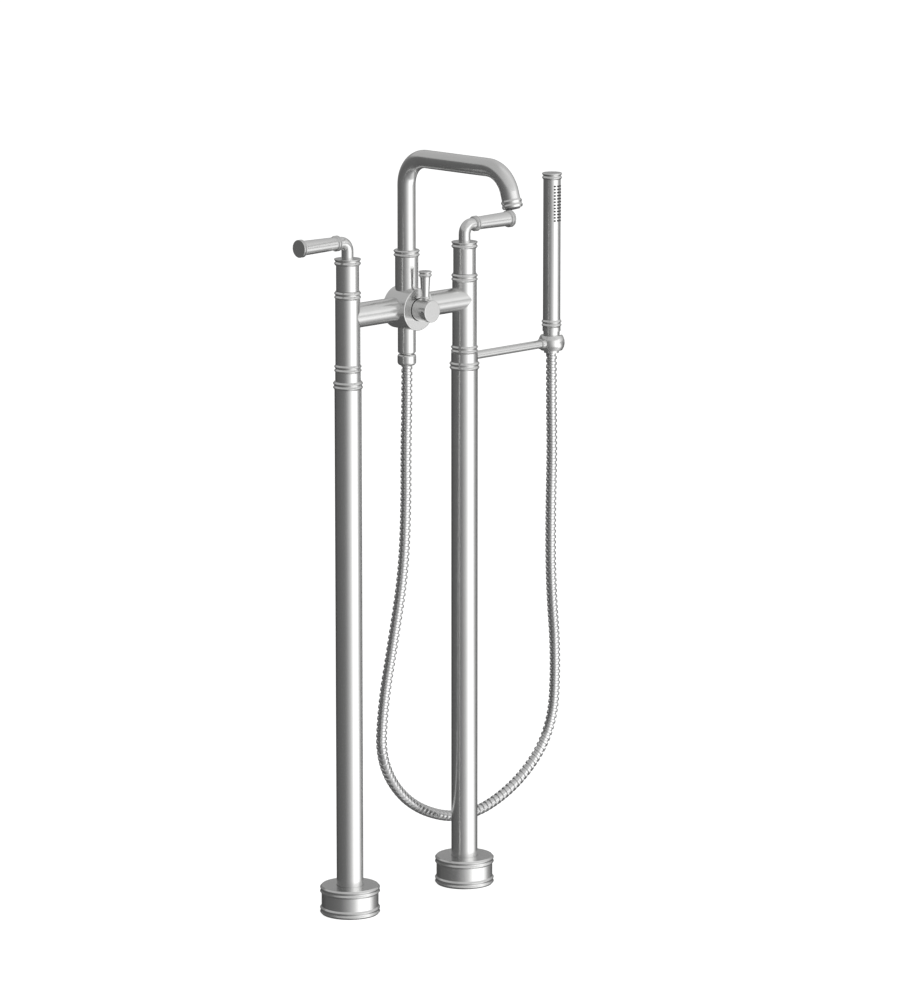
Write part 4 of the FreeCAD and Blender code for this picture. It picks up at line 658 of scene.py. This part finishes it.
nozzle = put(spray, "GeometryNodeSetPosition",
             {"Geometry": pin.outputs["Mesh"], "Position": nozzle_place.outputs[0]})

# The places: a grid of an angle by a height, bent to the nozzles' middle radius.
column_gaps = math_node(spray, "SUBTRACT", given.outputs["Columns"], 1.0)
row_gaps = math_node(spray, "SUBTRACT", given.outputs["Rows"], 1.0)
places = put(spray, "GeometryNodeMeshGrid",
             {"Size X": math_node(spray, "MULTIPLY", column_gaps, given.outputs["Column Turn"]),
              "Size Y": math_node(spray, "MULTIPLY", row_gaps, given.outputs["Row Pitch"]),
              "Vertices X": given.outputs["Columns"], "Vertices Y": given.outputs["Rows"]})
keep_turn = put(spray, "GeometryNodeCaptureAttribute", {"Geometry": places.outputs["Mesh"]})
keep_turn.capture_items.new("FLOAT", "Turn")
place_turn = math_node(spray, "ADD", position_parts(spray)[0], given.outputs["Middle Turn"])
spray.links.new(place_turn, keep_turn.inputs["Turn"])
middle_radius = math_node(spray, "DIVIDE", math_node(spray, "ADD", tip_radius, root_radius), 2.0)
bent = bent_round(spray, keep_turn.outputs["Geometry"], middle_radius, given.outputs["Middle Turn"])
facing = put(spray, "ShaderNodeCombineXYZ",
             {"X": math.pi / 2, "Y": 0.0, "Z": keep_turn.outputs["Turn"]})
nozzles = put(spray, "GeometryNodeInstanceOnPoints",
              {"Points": bent, "Instance": nozzle.outputs[0], "Rotation": facing.outputs[0]})

# The mat: a sheet bent to its outside, and its turned copy pushed inwards, merged into one closed shell.
sheet = put(spray, "GeometryNodeMeshGrid",
            {"Size X": given.outputs["Mat Turn"], "Size Y": given.outputs["Mat Height"],
             "Vertices X": MAT_SIDES + 1, "Vertices Y": 2})
outer_sheet = bent_round(spray, sheet.outputs["Mesh"], given.outputs["Mat Outside"],
                         given.outputs["Middle Turn"])
turned = put(spray, "GeometryNodeFlipFaces", {"Mesh": outer_sheet})
thick = put(spray, "GeometryNodeExtrudeMesh",
            {"Mesh": turned.outputs[0], "Offset Scale": given.outputs["Mat Thickness"],
             "Individual": False}, mode="FACES")
shell = put(spray, "GeometryNodeJoinGeometry")
spray.links.new(outer_sheet, shell.inputs[0])
spray.links.new(thick.outputs["Mesh"], shell.inputs[0])
merged = put(spray, "GeometryNodeMergeByDistance",
             {"Geometry": shell.outputs[0], "Distance": SAME_PLACE})

whole = put(spray, "GeometryNodeJoinGeometry")
spray.links.new(merged.outputs[0], whole.inputs[0])
spray.links.new(nozzles.outputs[0], whole.inputs[0])
finish_tree(spray, result, whole.outputs[0], given.outputs["Silicone"])

# %% Make the nozzles
carrier = link_object("nozzle_carrier", bpy.data.meshes.new("nozzle_carrier"))
nozzles = made_real(carrier, spray, "spray_nozzles", **{
    "Columns": NOZZLE_COLUMNS, "Rows": NOZZLE_ROWS, "Column Turn": COLUMN_TURN,
    "Middle Turn": MIDDLE_TURN, "Row Pitch": ROW_PITCH, "Tube Outside": TUBE_OUTSIDE,
    "Mat Outside": MAT_OUTSIDE, "Mat Height": MAT_HEIGHT, "Silicone": grey_rubber})
bpy.data.objects.remove(carrier)
nozzles.data.transform(Matrix.Translation((SHOWER_PLACE[0], SHOWER_PLACE[1], NOZZLE_MIDDLE_HEIGHT)))
print("nozzles:", NOZZLE_COLUMNS * NOZZLE_ROWS, "with", len(nozzles.data.polygons), "faces, box",
      [round(side / MM, 1) for side in nozzles.dimensions])
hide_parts("nozzle_mat")
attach(nozzles, "hand_shower")
